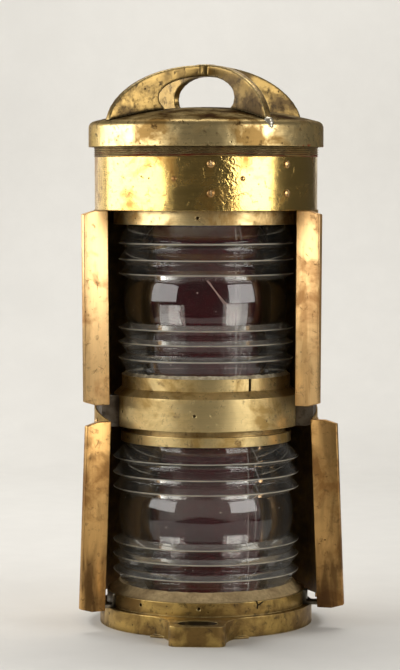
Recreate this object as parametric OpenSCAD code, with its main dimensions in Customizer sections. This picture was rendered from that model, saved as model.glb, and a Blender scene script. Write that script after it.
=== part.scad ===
// Double electric ship lantern, in millimetres.
// Two glass belt lenses stand one over the other between a lugged foot and a screw-capped collar,
// with curved screens behind them that set the arc over which each light shows.
// The axis of the lantern is Z, the foot stands on z = 0, and the front faces -Y.

/* [Foot] */
// how far the round foot flange stands out past its ring
foot_flange_w = 7; // [5:0.5:10]
// height of the foot flange and of its lugs
foot_h = 19.5; // [17:0.5:22]
// wall of the ring that stands on the flange, around the lens seat
foot_ring_w = 18.5; // [17:0.5:20]
// height of that ring above the flange
foot_ring_h = 13.5; // [12:0.5:16]
// height of the floor inside the foot
foot_floor_h = 8; // [7:0.5:10]
// width of the ledge under the lower lens's seal
foot_ledge_w = 8.5; // [6:0.5:10]
// width of the rim that the foot stands on
foot_rim_w = 16; // [12:1:22]
// depth of the relief under the foot
foot_relief_d = 3; // [2:0.5:4]
// how far the lugs reach from the axis
lug_reach = 150; // [144:1:158]
// width of a lug
lug_w = 54; // [50:1:58]
// corner radius of a lug
lug_corner_r = 9; // [6:0.5:12]
// radius of the hollow where a lug runs into the flange
lug_root_r = 45; // [36:1:46]
// how far the thin pad under a lug's root stands out past the flange
lug_pad_out = 7; // [4:0.5:9]
// half of the angle that this pad takes, in degrees
lug_pad_angle = 25; // [24:0.5:28]
// thickness of that pad
lug_pad_t = 2; // [1.5:0.25:2.5]
// distance of a holding-down hole from its lug's end
bolt_edge = 19; // [17:0.5:22]
// diameter of a holding-down hole
bolt_hole_d = 22; // [16:0.5:23]
// length of the worn dish around a holding-down hole
bolt_dish_l = 38.5; // [32:0.5:42]
// width of that dish
bolt_dish_w = 25; // [24:0.5:28]
// depth of that dish
bolt_dish_d = 4; // [2:0.5:6]

/* [Lenses] */
// height of each lens, with the ends that its seals grip
lens_h = 158; // [154:1:166]
// radius of a lens end
lens_end_r = 78; // [72:0.5:84]
// wall of a lens at its ends
lens_wall = 12; // [11:0.5:12.5]
// how far the prism tips of the upper lens stand out past its ends
upper_prism_out = 9; // [7:0.5:11]
// how far the prism tips of the lower lens stand out past its ends
lower_prism_out = 14.5; // [12:0.5:17]
// width of a lens end's bearing on its seal
lens_bearing = 10; // [9:0.5:10.5]
// depth of the grooves between prisms
prism_depth = 8; // [6:0.5:9]
// height of the first prism tip above or below mid-height
prism_first = 28.5; // [27:0.5:30]
// spacing of the prism tips
prism_pitch = 15.6; // [14.6:0.2:16]
// flat on a prism tip
prism_flat = 1.2; // [0.6:0.2:2]
// how far the belt's middle lies inside the prism tips
belt_step = 5.5; // [4:0.5:7]
// half the height of the plain belt
belt_half_h = 25; // [24:0.5:26]
// bulge of the belt
belt_bulge = 4.5; // [3:0.5:6]
// thickness of the lens seals
seal_t = 2.5; // [2:0.25:3]
// depth of the seats that hold the lens ends and seals
seat_depth = 7; // [6:0.5:8]
// width of the putty around the lower lens's foot
lower_putty_w = 18; // [12:0.5:18.5]
// height of that putty
lower_putty_h = 8.5; // [5:0.5:9]
// width of the putty around the upper lens's foot
upper_putty_w = 4.5; // [3:0.25:5]
// height of that putty
upper_putty_h = 3; // [1.5:0.25:3]

/* [Rings and band] */
// wall of the ring on top of the lower lens, around its seat
lower_clamp_w = 4.5; // [3.5:0.5:6.5]
// height of that ring
lower_clamp_h = 16; // [14:0.5:18]
// height of the groove around that ring's top
clamp_groove_h = 6.5; // [5:0.5:7]
// depth of that groove
clamp_groove_d = 6; // [4:0.5:7]
// how far the middle band stands out past the lens seats
band_out = 11.5; // [9.5:0.5:13.5]
// height of the band's straight side
band_h = 31; // [28:1:34]
// height of the band's sloping shoulder
band_shoulder_h = 7; // [5:0.5:9]
// wall of the split ring under the upper lens, around its seat
upper_clamp_w = 3.5; // [2.5:0.5:5.5]
// height of the split ring
upper_clamp_h = 12; // [11:0.5:14]
// width of the gap in the split ring
clamp_gap_w = 2.5; // [1.5:0.5:4]
// place of that gap around the axis, in degrees
clamp_gap_az = -56; // [-80:0.5:-40]
// wall of the ring on top of the upper lens, around its seat
upper_ring_w = 11.5; // [9.5:0.5:13.5]
// height of that ring
upper_ring_h = 14; // [13:0.5:16]
// wall of the middle band
band_wall = 5; // [4:0.5:6]
// thickness of the band's floor flange
band_floor_t = 6; // [5:0.5:8]
// how much wider the opening in that flange is than a filter glass, each side
band_floor_gap = 2; // [1.5:0.25:2.5]
// diameter of the holes for a pin spanner in the rings
spanner_d = 3.2; // [2.5:0.1:4]
// depth of those holes
spanner_depth = 3.5; // [2:0.25:4]

/* [Collar and cap] */
// how far the collar stands out past the ring under it
collar_out = 18.5; // [18:0.25:19]
// height of the collar
collar_h = 52; // [50:1:56]
// wall of the collar
collar_wall = 4; // [3.5:0.25:4.5]
// thickness of the collar's floor
collar_floor_t = 4; // [3:0.5:5]
// how far the thread's crests stand out past the collar
thread_out = 1; // [0.75:0.25:1.5]
// depth of the thread
thread_depth = 1.4; // [1:0.1:1.6]
// pitch of the thread
thread_pitch = 2; // [1.8:0.1:2.2]
// number of thread turns on the neck
thread_turns = 12; // [11:1:13]
// turns of thread that show below the cap
thread_seen = 5; // [4:1:6]
// wall of the threaded neck
neck_wall = 9; // [8:0.5:10]
// length of the neck's spigot inside the collar
neck_spigot_h = 3.5; // [3:0.25:4]
// wall of the cap over the thread's crests
cap_wall = 5; // [4.5:0.25:6.5]
// height of the cap's straight rim
cap_rim_h = 18.5; // [17:0.5:20]
// radius of the cap's rounded shoulder
cap_shoulder_r = 7; // [6:0.5:8]
// rise of the cap's dome above its shoulder
cap_dome_h = 14; // [11:0.5:17]
// thickness of the cap's dome
cap_dome_t = 5; // [4:0.5:6]
// width of the cap's solid rim around the hollow under the dome
cap_land_w = 18.5; // [17.5:0.5:22.5]
// thickness of the cap's sealing ring
cap_seal_t = 2.7; // [2.2:0.1:3]
// width of the cap's sealing ring
cap_seal_w = 7; // [6:0.5:7.5]
// gap between the cap's crown and the thread crests
cap_thread_gap = 0.7; // [0.5:0.1:1]

/* [Handle] */
// height of the handle above the cap's shoulder
handle_h = 55.5; // [50:0.5:62]
// how far the handle's ends lie inside the cap's rim
handle_inset = 2.5; // [1.5:0.5:4.5]
// thickness of an arch
handle_t = 7; // [6:0.5:9]
// half width of the opening under an arch
handle_open_w = 56; // [50:1:60]
// height of the metal over the opening at the crown
handle_crown_h = 11.5; // [9:0.5:13]
// height of the opening's widest place above the cap's shoulder
handle_open_z = 22.5; // [19:0.5:25]
// diameter of the boss where the arches cross
handle_boss_d = 20; // [14:0.5:24]
// turn of the handle about the axis, in degrees
handle_az = 35.5; // [22:0.5:42]

/* [Screens] */
// how far the upper screen's inside lies inside the collar's rim
screen_inset = 0.5; // [0.25:0.25:1.5]
// how much wider the lower screen is at its foot
screen_spread = 7; // [4:0.25:8]
// thickness of the screens
screen_t = 1.5; // [1:0.25:1.5]
// angle of the upper screen's left edge ahead of square to the front, in degrees
upper_left_edge = 32; // [28:0.5:36]
// angle of the upper screen's right edge ahead of square to the front, in degrees
upper_right_edge = 32; // [28:0.5:36]
// angle of the lower screen's left edge ahead of square to the front, in degrees
lower_left_edge = 33.5; // [29:0.5:37]
// angle of the lower screen's right edge ahead of square to the front, in degrees
lower_right_edge = 14.5; // [13.5:0.5:18]
// distance of the strips from the clips' mid-height
screen_gap_half = 8; // [6:0.5:9]
// slope of the lower screen's top edge up from its strips, in degrees
screen_rise = 12; // [8:1:16]
// how far the lower screen stands above its strips
screen_lip = 1; // [0.5:0.25:2]
// gap between the two screens at the back
screen_split = 2; // [1:0.5:4]
// gap between the lower screen and the top of the foot flange
screen_foot_gap = 1.5; // [1:0.5:3]
// width of an edge strip
strip_w = 26.5; // [22:0.5:30]
// thickness of an edge strip
strip_t = 6; // [4:0.5:7]
// how far the upper strips lean out at their tops
strip_lean = 1.4; // [0.5:0.1:1.4]
// length of the slope at a strip's outer corners
strip_clip_w = 12; // [6:0.5:14]
// drop of that slope
strip_clip_h = 3.5; // [2:0.5:5]
// height of the clips that hold the screens to the band
clip_h = 31; // [29:1:34]
// thickness of those clips
clip_t = 3; // [2:0.5:4]
// radius of the lower corner of a clip's web
clip_corner_r = 8; // [5:0.5:8]
// width of a clip, in degrees
clip_angle = 12; // [10:0.5:13]
// thickness of a clip's web, in degrees
clip_web_angle = 1.5; // [1:0.25:2]
// place of the left clip around the axis, in degrees
left_clip_az = 198.5; // [195:0.5:202]
// place of the right clip around the axis, in degrees
right_clip_az = -5.5; // [-6:0.5:-3]
// width of the brackets that hold the lower screen to the foot, in degrees
bracket_angle = 9; // [8:0.5:12]
// thickness of those brackets
bracket_t = 3; // [2:0.5:3.5]

/* [Lamps] */
// gap between a ruby filter glass and its lens
filter_gap = 10; // [9.5:0.25:11]
// wall of a filter glass
filter_wall = 3; // [2:0.5:3.5]
// height of a filter's seat ring
filter_seat_h = 11; // [10:0.5:12]
// depth of the groove that holds a filter
filter_groove_d = 5.5; // [4:0.5:5.5]
// clear height above a filter glass
filter_head_gap = 4; // [3:0.5:8]
// thickness of the deck under the upper lamp
deck_t = 4; // [3:0.5:5]
// how much smaller that deck is than the rings' bore, each side
deck_gap = 1; // [0.75:0.25:2]
// radius of a lamp's glass bulb
bulb_r = 24; // [20:0.5:27]
// wall of the glass bulb
bulb_wall = 1; // [0.8:0.1:1.5]
// radius of the bulb's neck
bulb_neck_r = 10.5; // [9:0.25:10.75]
// radius of a lamp's metal cap
lamp_cap_r = 11; // [11:0.25:12]
// length of a lamp's metal cap
lamp_cap_l = 28; // [24:1:30]
// distance from the filament down to the lamp's cap
lamp_focus = 30; // [28:0.5:32]
// radius of a lamp holder
holder_r = 19; // [17:0.5:22]
// depth of the socket in a lamp holder
holder_socket_d = 22; // [18:0.5:23]
// thickness of a lamp holder's floor
holder_floor_t = 8; // [6:0.5:10]
// radius of a pedestal's tube
pedestal_r = 12; // [11:0.5:14]
// bore of a pedestal's tube
pedestal_bore_r = 9; // [8:0.5:9.5]
// radius of a pedestal's foot plate
pedestal_foot_r = 26; // [25:0.5:30]
// thickness of a pedestal's end plates
pedestal_plate_t = 4; // [3:0.5:5]

/* [Wiring] */
// radius of a lamp lead
lead_r = 2; // [1.5:0.1:2.1]
// gap between the leads' upright runs and a lens
lead_wall_gap = 1.5; // [1.25:0.25:1.75]
// place of the upper lamp's lead around the axis, in degrees
upper_lead_az = 84; // [80:1:86]
// place of the lower lamp's lead around the axis, in degrees
lower_lead_az = 96; // [94:1:100]
// width of the terminal board
board_w = 60; // [54:1:64]
// height of the terminal board
board_h = 22; // [18:0.5:24]
// depth of the terminal board
board_depth = 17.5; // [15.5:0.5:21.5]
// thickness of the board's backing plate
backing_t = 3; // [2:0.5:3.5]
// margin of the backing plate above and below its screws
backing_edge = 3.5; // [3:0.25:4]
// width of the backing plate, in degrees
backing_angle = 52; // [50:1:56]
// radius of the cable gland's spigot
gland_spigot_r = 10; // [9:0.5:11]
// width across the corners of the gland's hexagon
gland_hex_d = 32; // [30:0.5:33]
// radius of the bore in the gland's seal
gland_bore_r = 4.5; // [4:0.25:5]
// radius of the pad on the collar behind the gland
gland_pad_r = 17; // [17:0.5:19]
// how far that pad stands out of the collar
gland_pad_h = 3; // [2.5:0.5:5]

/* [Fasteners] */
// diameter of the large slotted screws
screw_d = 4; // [3.5:0.25:4.5]
// diameter of their heads
screw_head_d = 7.5; // [7:0.25:8.5]
// height of their heads
screw_head_h = 1.8; // [1.4:0.1:2.4]
// length of a slotted screw under its head
screw_l = 8; // [7.5:0.5:9]
// width of the slots in screw heads
slot_w = 1; // [0.7:0.1:1.4]
// depth of the slots in screw heads
slot_d = 0.8; // [0.5:0.1:1]
// upright distance between the collar's screws
collar_screw_rise = 28; // [26:0.5:29]
// angle between the collar's screws, in degrees
collar_screw_span = 42.3; // [38:0.1:45]
// place of the collar's screws around the axis, in degrees
collar_screw_az = -63; // [-67:0.5:-59]
// diameter of the two plate rivets on the collar
rivet_d = 5; // [4:0.25:6]
// diameter of the small screws inside
small_screw_d = 3; // [2.5:0.1:3.2]
// diameter of their heads
small_head_d = 4.8; // [4.2:0.1:4.9]
// length of the small screws under their heads
small_screw_l = 6.5; // [6:0.25:7]

/* [Hidden] */
$fn = 96;
// overrun of every cut
e = 1;
// gap between pieces that move past each other
run_gap = 0.3;
// radial clearance of a fit between fixed pieces
fit_gap = 0.1;
// clearance of the filter glasses in their grooves
glass_gap = 0.2;
// clearance around the leads
lead_gap = 0.4;
// share by which a knuckle is larger than its lead
knuckle = 1.15;
// how far the hollow beside a lug runs in past the flange's rim
lug_bite = 1;
// distance of the foot ring's spanner holes from its top
foot_spanner_drop = 5.4;
// angles of the two rivets back from the middle of the collar's screws, in degrees
rivet_steps = [39.5, 5];
// share by which the ball of a rivet's head is wider than the head
rivet_dome = 1.5;
// number of screws on the terminal board
board_screws = 4;
// gap around the cable in the gland
gland_throat_gap = 1;
// how far the gland's spigot stands into the collar
gland_spigot_out = 3;
// wall of the gland's neck
gland_neck_wall = 3.5;
// how much smaller the gland's nut is than its body
gland_nut_step = 2;
// distance of a pedestal's screws from the rim of its foot plate
pedestal_screw_edge = 5;
// how far a lamp holder stands out past the plate under it
pedestal_top_step = 2;

// radii that follow from the lens ends
seat_r = lens_end_r + seal_t;
lens_bore_r = lens_end_r - lens_wall;
ring_bore_r = lens_end_r - lens_bearing;
upper_lens_r = lens_end_r + upper_prism_out;
lower_lens_r = lens_end_r + lower_prism_out;
foot_ring_r = seat_r + foot_ring_w;
foot_r = foot_ring_r + foot_flange_w;
foot_well_r = seat_r - foot_ledge_w;
foot_relief_r = foot_r - foot_rim_w;
bolt_r = lug_reach - bolt_edge;
lower_clamp_r = seat_r + lower_clamp_w;
band_r = seat_r + band_out;
upper_clamp_r = seat_r + upper_clamp_w;
upper_ring_r = seat_r + upper_ring_w;
ring_screw_r = (ring_bore_r + upper_ring_r) / 2;
filter_r = lens_bore_r - filter_gap;
band_floor_r = filter_r + band_floor_gap;
deck_r = ring_bore_r - deck_gap;
lead_run_r = lens_bore_r - lead_r - lead_wall_gap;
collar_r = upper_ring_r + collar_out;
collar_hole_r = ring_bore_r + collar_floor_t;
thread_r = collar_r + thread_out;
cap_r = thread_r + cap_wall;
cap_hollow_r = cap_r - cap_land_w;
handle_span = 2 * (cap_r - handle_inset);
upper_screen_r = collar_r - screen_inset;
lower_screen_foot_r = upper_screen_r + screen_spread;

// levels of the stack
foot_top_z = foot_h + foot_ring_h;
lens_grip = seat_depth - seal_t;
lens_seen_h = lens_h - 2 * lens_grip;
last_z = prism_first + 2 * prism_pitch;
slope_h = lens_seen_h / 2 - last_z;
lower_lens_z = foot_top_z - lens_grip;
lower_clamp_z = foot_top_z + lens_seen_h;
band_z = lower_clamp_z + lower_clamp_h;
shoulder_z = band_z + band_h;
upper_clamp_z = shoulder_z + band_shoulder_h;
upper_seat_z = upper_clamp_z + upper_clamp_h;
upper_lens_z = upper_seat_z - lens_grip;
upper_ring_z = upper_seat_z + lens_seen_h;
collar_z = upper_ring_z + upper_ring_h;
neck_z = collar_z + collar_h;
neck_top_z = neck_z + thread_turns * thread_pitch;
cap_z = neck_z + thread_seen * thread_pitch;
cap_ceiling_z = neck_top_z + run_gap + cap_seal_t + run_gap;
cap_edge_z = cap_z + cap_rim_h;
cap_top_z = cap_edge_z + cap_shoulder_r;
clip_z = band_z + band_h / 2;
deck_z = band_z + band_floor_t;
lower_focus_z = lower_lens_z + lens_h / 2;
upper_focus_z = upper_lens_z + lens_h / 2;

// seats and bores
collar_bore_r = collar_r - collar_wall;
neck_root_r = thread_r - thread_depth;
neck_bore_r = neck_root_r - neck_wall;
cap_bore_r = thread_r + cap_thread_gap;
cap_flat_r = cap_r - cap_shoulder_r;
dome_rise = cap_shoulder_r + cap_dome_h;
dome_r = cap_flat_r * cap_flat_r / (2 * cap_dome_h) + (dome_rise + cap_shoulder_r) / 2;
dome_z = cap_edge_z + dome_rise - dome_r;
dome_edge_r = cap_flat_r * dome_r / (dome_r - cap_shoulder_r);
band_top_r = upper_clamp_r;
holder_h = holder_floor_t + holder_socket_d;
lead_lift = lead_r + lead_gap;
lead_hole_r = lead_r + lead_gap / 2;
lead_notch_w = 2 * lead_r + 2 * lead_gap;

// screens
screen_low_z = foot_h + screen_foot_gap;
lower_screen_z = clip_z - screen_gap_half;
upper_screen_z = clip_z + screen_gap_half;
screen_split_z = upper_screen_z - screen_split;
screen_half_edge = (lower_left_edge + lower_right_edge) / 2;
screen_flare = (lower_screen_foot_r - upper_screen_r) / (lower_screen_z - screen_low_z);
clip_screw_lift = (clip_h / 2 + screen_gap_half) / 2;
bracket_h = foot_ring_h;
bracket_mid_z = foot_h + bracket_h / 2 + bracket_t / 2;
left_bracket_az = 180 + lower_left_edge - bracket_angle;
right_bracket_az = bracket_angle - lower_right_edge;

// collar fittings
backing_h = collar_screw_rise + 2 * backing_edge;
backing_z = neck_z - neck_spigot_h - run_gap - backing_h;
screw_mid_z = backing_z + backing_h / 2;
rivet_az = [for (step = rivet_steps) collar_screw_az - step];
rivet_shank_d = rivet_d / 2;
rivet_ball_d = rivet_d * rivet_dome;
board_z = screw_mid_z - board_h / 2 - e;
backing_r = collar_bore_r - backing_t;
board_face_r = backing_r - board_depth;
lead_z = collar_z + collar_floor_t + 2 * lead_r;
board_screw_y = board_w / (board_screws + 1);
lead_board_az = 6;
upper_lead_step = 5;
lower_lead_step = 11;
gland_z = collar_z + collar_h / 2;
gland_face_r = collar_r + gland_pad_h;
gland_hex_h = 8;
gland_neck_h = 8;
gland_socket_r = 8;
gland_socket_z = 4;
gland_seal_h = 11;
gland_nut_h = 12;
gland_nut_z = 9;
gland_throat_r = gland_bore_r + gland_throat_gap;
gland_spigot_h = gland_pad_h + collar_wall + gland_spigot_out;
gland_neck_r = gland_socket_r + gland_neck_wall;
gland_nut_d = gland_hex_d - gland_nut_step;

// places of small fixings around the axis
foot_spanner_az = [-90.5, -126.5];
band_spanner_az = [-93.5, -150];
ring_spanner_az = [-91.5];
ring_screw_az = [45, 135, 225, 315];
deck_screw_az = [30, 150, 270];
pedestal_screw_r = pedestal_foot_r - pedestal_screw_edge;
pedestal_top_r = holder_r - pedestal_top_step;

function arc(cx, cy, r, from, to, n) =
    [for (i = [0 : n]) let (a = from + (to - from) * i / n) [cx + r * cos(a), cy + r * sin(a)]];

function ellipse(cz, a, b, from, to, n) =
    [for (i = [0 : n]) let (t = from + (to - from) * i / n) [a * cos(t), cz + b * sin(t)]];

function lower_screen_at(z) = upper_screen_r + (lower_screen_z - z) * screen_flare;

// outline of a lug that points to -Y, closed inside the flange
function lug_outline(w, c, f) =
    let (
        centre_r = foot_r - lug_bite + f,
        fx = w / 2 + f,
        fy = -sqrt(centre_r * centre_r - fx * fx),
        t = atan2(-fy, fx)
    )
    concat(
        [[0, -foot_r / 2]],
        arc(-fx, fy, f, t, 0, 10),
        arc(c - w / 2, c - lug_reach, c, 180, 270, 8),
        arc(w / 2 - c, c - lug_reach, c, 270, 360, 8),
        arc(fx, fy, f, 180, 180 - t, 10)
    );

// places a child at a height and a direction from the axis, with its own Z pointing outward
module radial(az, r, z) {
    translate([0, 0, z])
        rotate([0, 0, az])
            translate([r, 0, 0])
                rotate([0, 90, 0])
                    children();
}

module at_polar(az, r, z) {
    translate([r * cos(az), r * sin(az), z])
        children();
}

module tube(r, bore, h) {
    difference() {
        cylinder(r = r, h = h);
        translate([0, 0, -e])
            cylinder(r = bore, h = h + 2 * e);
    }
}

// ring segment that starts at a direction and sweeps a profile of radius and height
module swept(az, angle) {
    rotate([0, 0, az])
        rotate_extrude(angle = angle)
            children();
}

// screw with its head's seat on z = 0 and a low domed head
module slotted_screw(d, l, head_d, head_h) {
    ball_r = (head_d * head_d / 4 + head_h * head_h / 4) / head_h;
    translate([0, 0, -l])
        cylinder(d = d, h = l + head_h / 4);
    difference() {
        intersection() {
            cylinder(d = head_d, h = head_h);
            translate([0, 0, head_h - ball_r])
                sphere(r = ball_r);
        }
        translate([-head_d, -slot_w / 2, head_h - slot_d])
            cube([2 * head_d, slot_w, head_h]);
    }
}

module spanner_hole(az, r, z) {
    radial(az, r - spanner_depth, z)
        cylinder(d = spanner_d, h = spanner_depth + e, $fn = 32);
}

module lug() {
    pad_x = lug_reach * tan(lug_pad_angle);
    linear_extrude(foot_h)
        polygon(lug_outline(lug_w, lug_corner_r, lug_root_r));
    intersection() {
        cylinder(r = foot_r + lug_pad_out, h = lug_pad_t);
        linear_extrude(foot_h)
            polygon([[0, 0], [-pad_x, -lug_reach], [pad_x, -lug_reach]]);
    }
}

module lug_hole() {
    dish_x = (bolt_dish_l - bolt_dish_w) / 2;
    translate([0, -bolt_r, -e])
        cylinder(d = bolt_hole_d, h = foot_h + 2 * e);
    translate([0, -bolt_r, foot_h - bolt_dish_d])
        linear_extrude(bolt_dish_d + e)
            polygon(concat(
                arc(dish_x, 0, bolt_dish_w / 2, -90, 90, 14),
                arc(-dish_x, 0, bolt_dish_w / 2, 90, 270, 14)
            ));
}

module foot_casting() {
    color("#a8863f")
    difference() {
        union() {
            cylinder(r = foot_r, h = foot_h);
            cylinder(r = foot_ring_r, h = foot_top_z);
            lug();
            mirror([0, 1, 0])
                lug();
        }
        translate([0, 0, foot_floor_h])
            cylinder(r = foot_well_r, h = foot_top_z);
        translate([0, 0, foot_top_z - seat_depth])
            cylinder(r = seat_r, h = seat_depth + e);
        translate([0, 0, -e])
            cylinder(r = foot_relief_r, h = foot_relief_d + e);
        lug_hole();
        mirror([0, 1, 0])
            lug_hole();
        for (az = deck_screw_az)
            at_polar(az, pedestal_screw_r, foot_floor_h + pedestal_plate_t - small_screw_l)
                cylinder(d = small_screw_d, h = small_screw_l, $fn = 32);
        for (az = foot_spanner_az)
            spanner_hole(az, foot_ring_r, foot_top_z - foot_spanner_drop);
    }
}

// seal under a lens end: a flat ring with an upstand around the glass
module lens_seal(z) {
    color("#2b2622")
    translate([0, 0, z])
        rotate_extrude()
            polygon([
                [ring_bore_r, 0], [seat_r, 0], [seat_r, seat_depth],
                [lens_end_r, seat_depth], [lens_end_r, seal_t], [ring_bore_r, seal_t]
            ]);
}

// the same seal turned over, hanging from its seat's floor
module lens_top_seal(z) {
    translate([0, 0, z])
        mirror([0, 0, 1])
            lens_seal(0);
}

module lower_lens_bottom_seal() {
    lower_seal_r = max(ring_bore_r, foot_well_r);
    color("#2b2622")
    translate([0, 0, foot_top_z - seat_depth])
        rotate_extrude()
            polygon([
                [lower_seal_r, 0], [seat_r, 0], [seat_r, seat_depth],
                [lens_end_r, seat_depth], [lens_end_r, seal_t], [lower_seal_r, seal_t]
            ]);
}

module lower_lens_top_seal() {
    lens_top_seal(lower_clamp_z + seat_depth);
}

module upper_lens_bottom_seal() {
    lens_seal(upper_seat_z - seat_depth);
}

module upper_lens_top_seal() {
    lens_top_seal(upper_ring_z + seat_depth);
}

// bead of putty between the ring that a lens stands on and the slope of its lowest prism
module putty(tip_r, w, h) {
    color("#8d7f62")
    rotate_extrude()
        polygon([
            [lens_end_r, 0], [lens_end_r + w, 0],
            [lens_end_r + h * (tip_r - lens_end_r) / (slope_h - prism_flat / 2), h]
        ]);
}

module lower_putty() {
    translate([0, 0, foot_top_z])
        putty(lower_lens_r, lower_putty_w, lower_putty_h);
}

module upper_putty() {
    translate([0, 0, upper_seat_z])
        putty(upper_lens_r, upper_putty_w, upper_putty_h);
}

// one prism of a lens: a flat face toward mid-height, a sloping face away from it
module prism(tip_r, root_r, z, rise) {
    polygon([
        [lens_bore_r + e, z - prism_flat - prism_depth / 2], [root_r - e, z - prism_flat - prism_depth / 2],
        [tip_r, z - prism_flat / 2], [tip_r, z + prism_flat / 2],
        [root_r, z + rise], [lens_bore_r + e, z + rise]
    ]);
}

module lens_half(tip_r) {
    root_r = tip_r - prism_depth;
    for (i = [0 : 1])
        prism(tip_r, root_r, prism_first + i * prism_pitch, prism_pitch - prism_depth / 2);
    prism(tip_r, root_r, last_z, (tip_r - root_r) / (tip_r - lens_end_r) * slope_h);
    polygon([
        [lens_bore_r + e, last_z], [tip_r - prism_depth / 2, last_z],
        [tip_r, last_z + prism_flat / 2], [lens_end_r, lens_seen_h / 2], [lens_bore_r + e, lens_seen_h / 2]
    ]);
}

// belt lens standing on z = 0
module lens(tip_r) {
    belt_r = tip_r - belt_step;
    bulge_r = (belt_half_h * belt_half_h + belt_bulge * belt_bulge) / (2 * belt_bulge);
    core_r = min(lens_end_r, belt_r - belt_bulge);
    translate([0, 0, lens_h / 2])
        rotate_extrude() {
            translate([lens_bore_r, -lens_h / 2])
                square([lens_end_r - lens_bore_r, lens_h]);
            translate([lens_bore_r, -prism_first])
                square([belt_r - belt_bulge - lens_bore_r, 2 * prism_first]);
            intersection() {
                translate([belt_r - bulge_r, 0])
                    circle(r = bulge_r);
                translate([core_r - e, -belt_half_h])
                    square([belt_r - core_r + 2 * e, 2 * belt_half_h]);
            }
            lens_half(tip_r);
            mirror([0, 1])
                lens_half(tip_r);
        }
}

module lower_lens() {
    color([0.8, 0.86, 0.84, 0.5])
    translate([0, 0, lower_lens_z])
        lens(lower_lens_r);
}

module upper_lens() {
    color([0.8, 0.86, 0.84, 0.5])
    translate([0, 0, upper_lens_z])
        lens(upper_lens_r);
}

// ring with a seat for a lens end in its underside
module top_ring(r, h) {
    difference() {
        tube(r, ring_bore_r, h);
        translate([0, 0, -e])
            cylinder(r = seat_r, h = seat_depth + e);
    }
}

module lower_clamp_ring() {
    color("#9c7a38")
    translate([0, 0, lower_clamp_z])
        difference() {
            top_ring(lower_clamp_r, lower_clamp_h);
            translate([0, 0, lower_clamp_h - clamp_groove_h])
                tube(lower_clamp_r + e, lower_clamp_r - clamp_groove_d, clamp_groove_h + e);
        }
}

module middle_band() {
    color("#a8863f")
    difference() {
        translate([0, 0, band_z])
            rotate_extrude()
                polygon([
                    [band_floor_r, 0], [band_r, 0], [band_r, band_h],
                    [band_top_r, band_h + band_shoulder_h], [ring_bore_r, band_h + band_shoulder_h],
                    [ring_bore_r, band_h], [band_r - band_wall, band_h],
                    [band_r - band_wall, band_floor_t], [band_floor_r, band_floor_t]
                ]);
        for (az = band_spanner_az)
            spanner_hole(az, band_r, clip_z);
        at_polar(lower_lead_az, lead_run_r, band_z - e)
            cylinder(r = lead_hole_r, h = band_floor_t + 2 * e, $fn = 32);
        for (az = deck_screw_az)
            at_polar(az, lead_run_r, band_z - e)
                cylinder(d = small_screw_d, h = band_floor_t + 2 * e, $fn = 32);
    }
}

module upper_clamp_ring() {
    color("#9c7a38")
    difference() {
        translate([0, 0, upper_clamp_z])
            difference() {
                tube(upper_clamp_r, ring_bore_r, upper_clamp_h);
                translate([0, 0, upper_clamp_h - seat_depth])
                    cylinder(r = seat_r, h = seat_depth + e);
            }
        translate([0, 0, upper_clamp_z - e])
            rotate([0, 0, clamp_gap_az])
                translate([ring_bore_r - e, -clamp_gap_w / 2, 0])
                    cube([upper_clamp_r, clamp_gap_w, upper_clamp_h + 2 * e]);
    }
}

module upper_lens_ring() {
    color("#a8863f")
    difference() {
        translate([0, 0, upper_ring_z])
            top_ring(upper_ring_r, upper_ring_h);
        for (az = ring_spanner_az)
            spanner_hole(az, upper_ring_r, upper_ring_z + upper_ring_h / 2);
        for (az = ring_screw_az)
            at_polar(az, ring_screw_r, collar_z - screw_l + collar_floor_t)
                cylinder(d = screw_d, h = screw_l, $fn = 32);
    }
}

// the collar screws' four places, as directions from the collar's middle
module collar_screw_places(r) {
    for (side = [-1, 1])
        for (level = [-1, 1])
            radial(
                collar_screw_az + side * collar_screw_span / 2, r,
                screw_mid_z + level * collar_screw_rise / 2
            )
                children();
}

module collar() {
    color("#b08d42")
    difference() {
        union() {
            translate([0, 0, collar_z])
                cylinder(r = collar_r, h = collar_h);
            radial(90, collar_r - 2 * collar_wall, gland_z)
                cylinder(r = gland_pad_r, h = 2 * collar_wall + gland_pad_h);
        }
        translate([0, 0, collar_z + collar_floor_t])
            cylinder(r = collar_bore_r, h = collar_h);
        translate([0, 0, collar_z - e])
            cylinder(r = collar_hole_r, h = collar_h);
        radial(90, collar_bore_r - collar_wall, gland_z)
            cylinder(r = gland_spigot_r + fit_gap, h = 3 * collar_wall + gland_pad_h);
        collar_screw_places(collar_bore_r - e)
            cylinder(d = screw_d, h = collar_wall + 2 * e, $fn = 32);
        for (az = rivet_az)
            radial(az, collar_bore_r - e, screw_mid_z)
                cylinder(d = rivet_shank_d, h = collar_wall + 2 * e, $fn = 32);
        for (az = ring_screw_az)
            at_polar(az, ring_screw_r, collar_z - e)
                cylinder(d = screw_d, h = collar_floor_t + 2 * e, $fn = 32);
    }
}

module threaded_neck() {
    color("#a5803a")
    translate([0, 0, neck_z])
        rotate_extrude()
            polygon(concat(
                [
                    [neck_bore_r, -neck_spigot_h],
                    [collar_bore_r - fit_gap, -neck_spigot_h], [collar_bore_r - fit_gap, 0]
                ],
                [for (i = [0 : thread_turns - 1]) each [
                    [neck_root_r, i * thread_pitch], [thread_r, (i + 0.5) * thread_pitch]
                ]],
                [[neck_root_r, thread_turns * thread_pitch], [neck_bore_r, thread_turns * thread_pitch]]
            ));
}

module cap_seal() {
    color("#26221f")
    translate([0, 0, neck_top_z + run_gap])
        tube(neck_bore_r + e + cap_seal_w, neck_bore_r + e, cap_seal_t);
}

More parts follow.
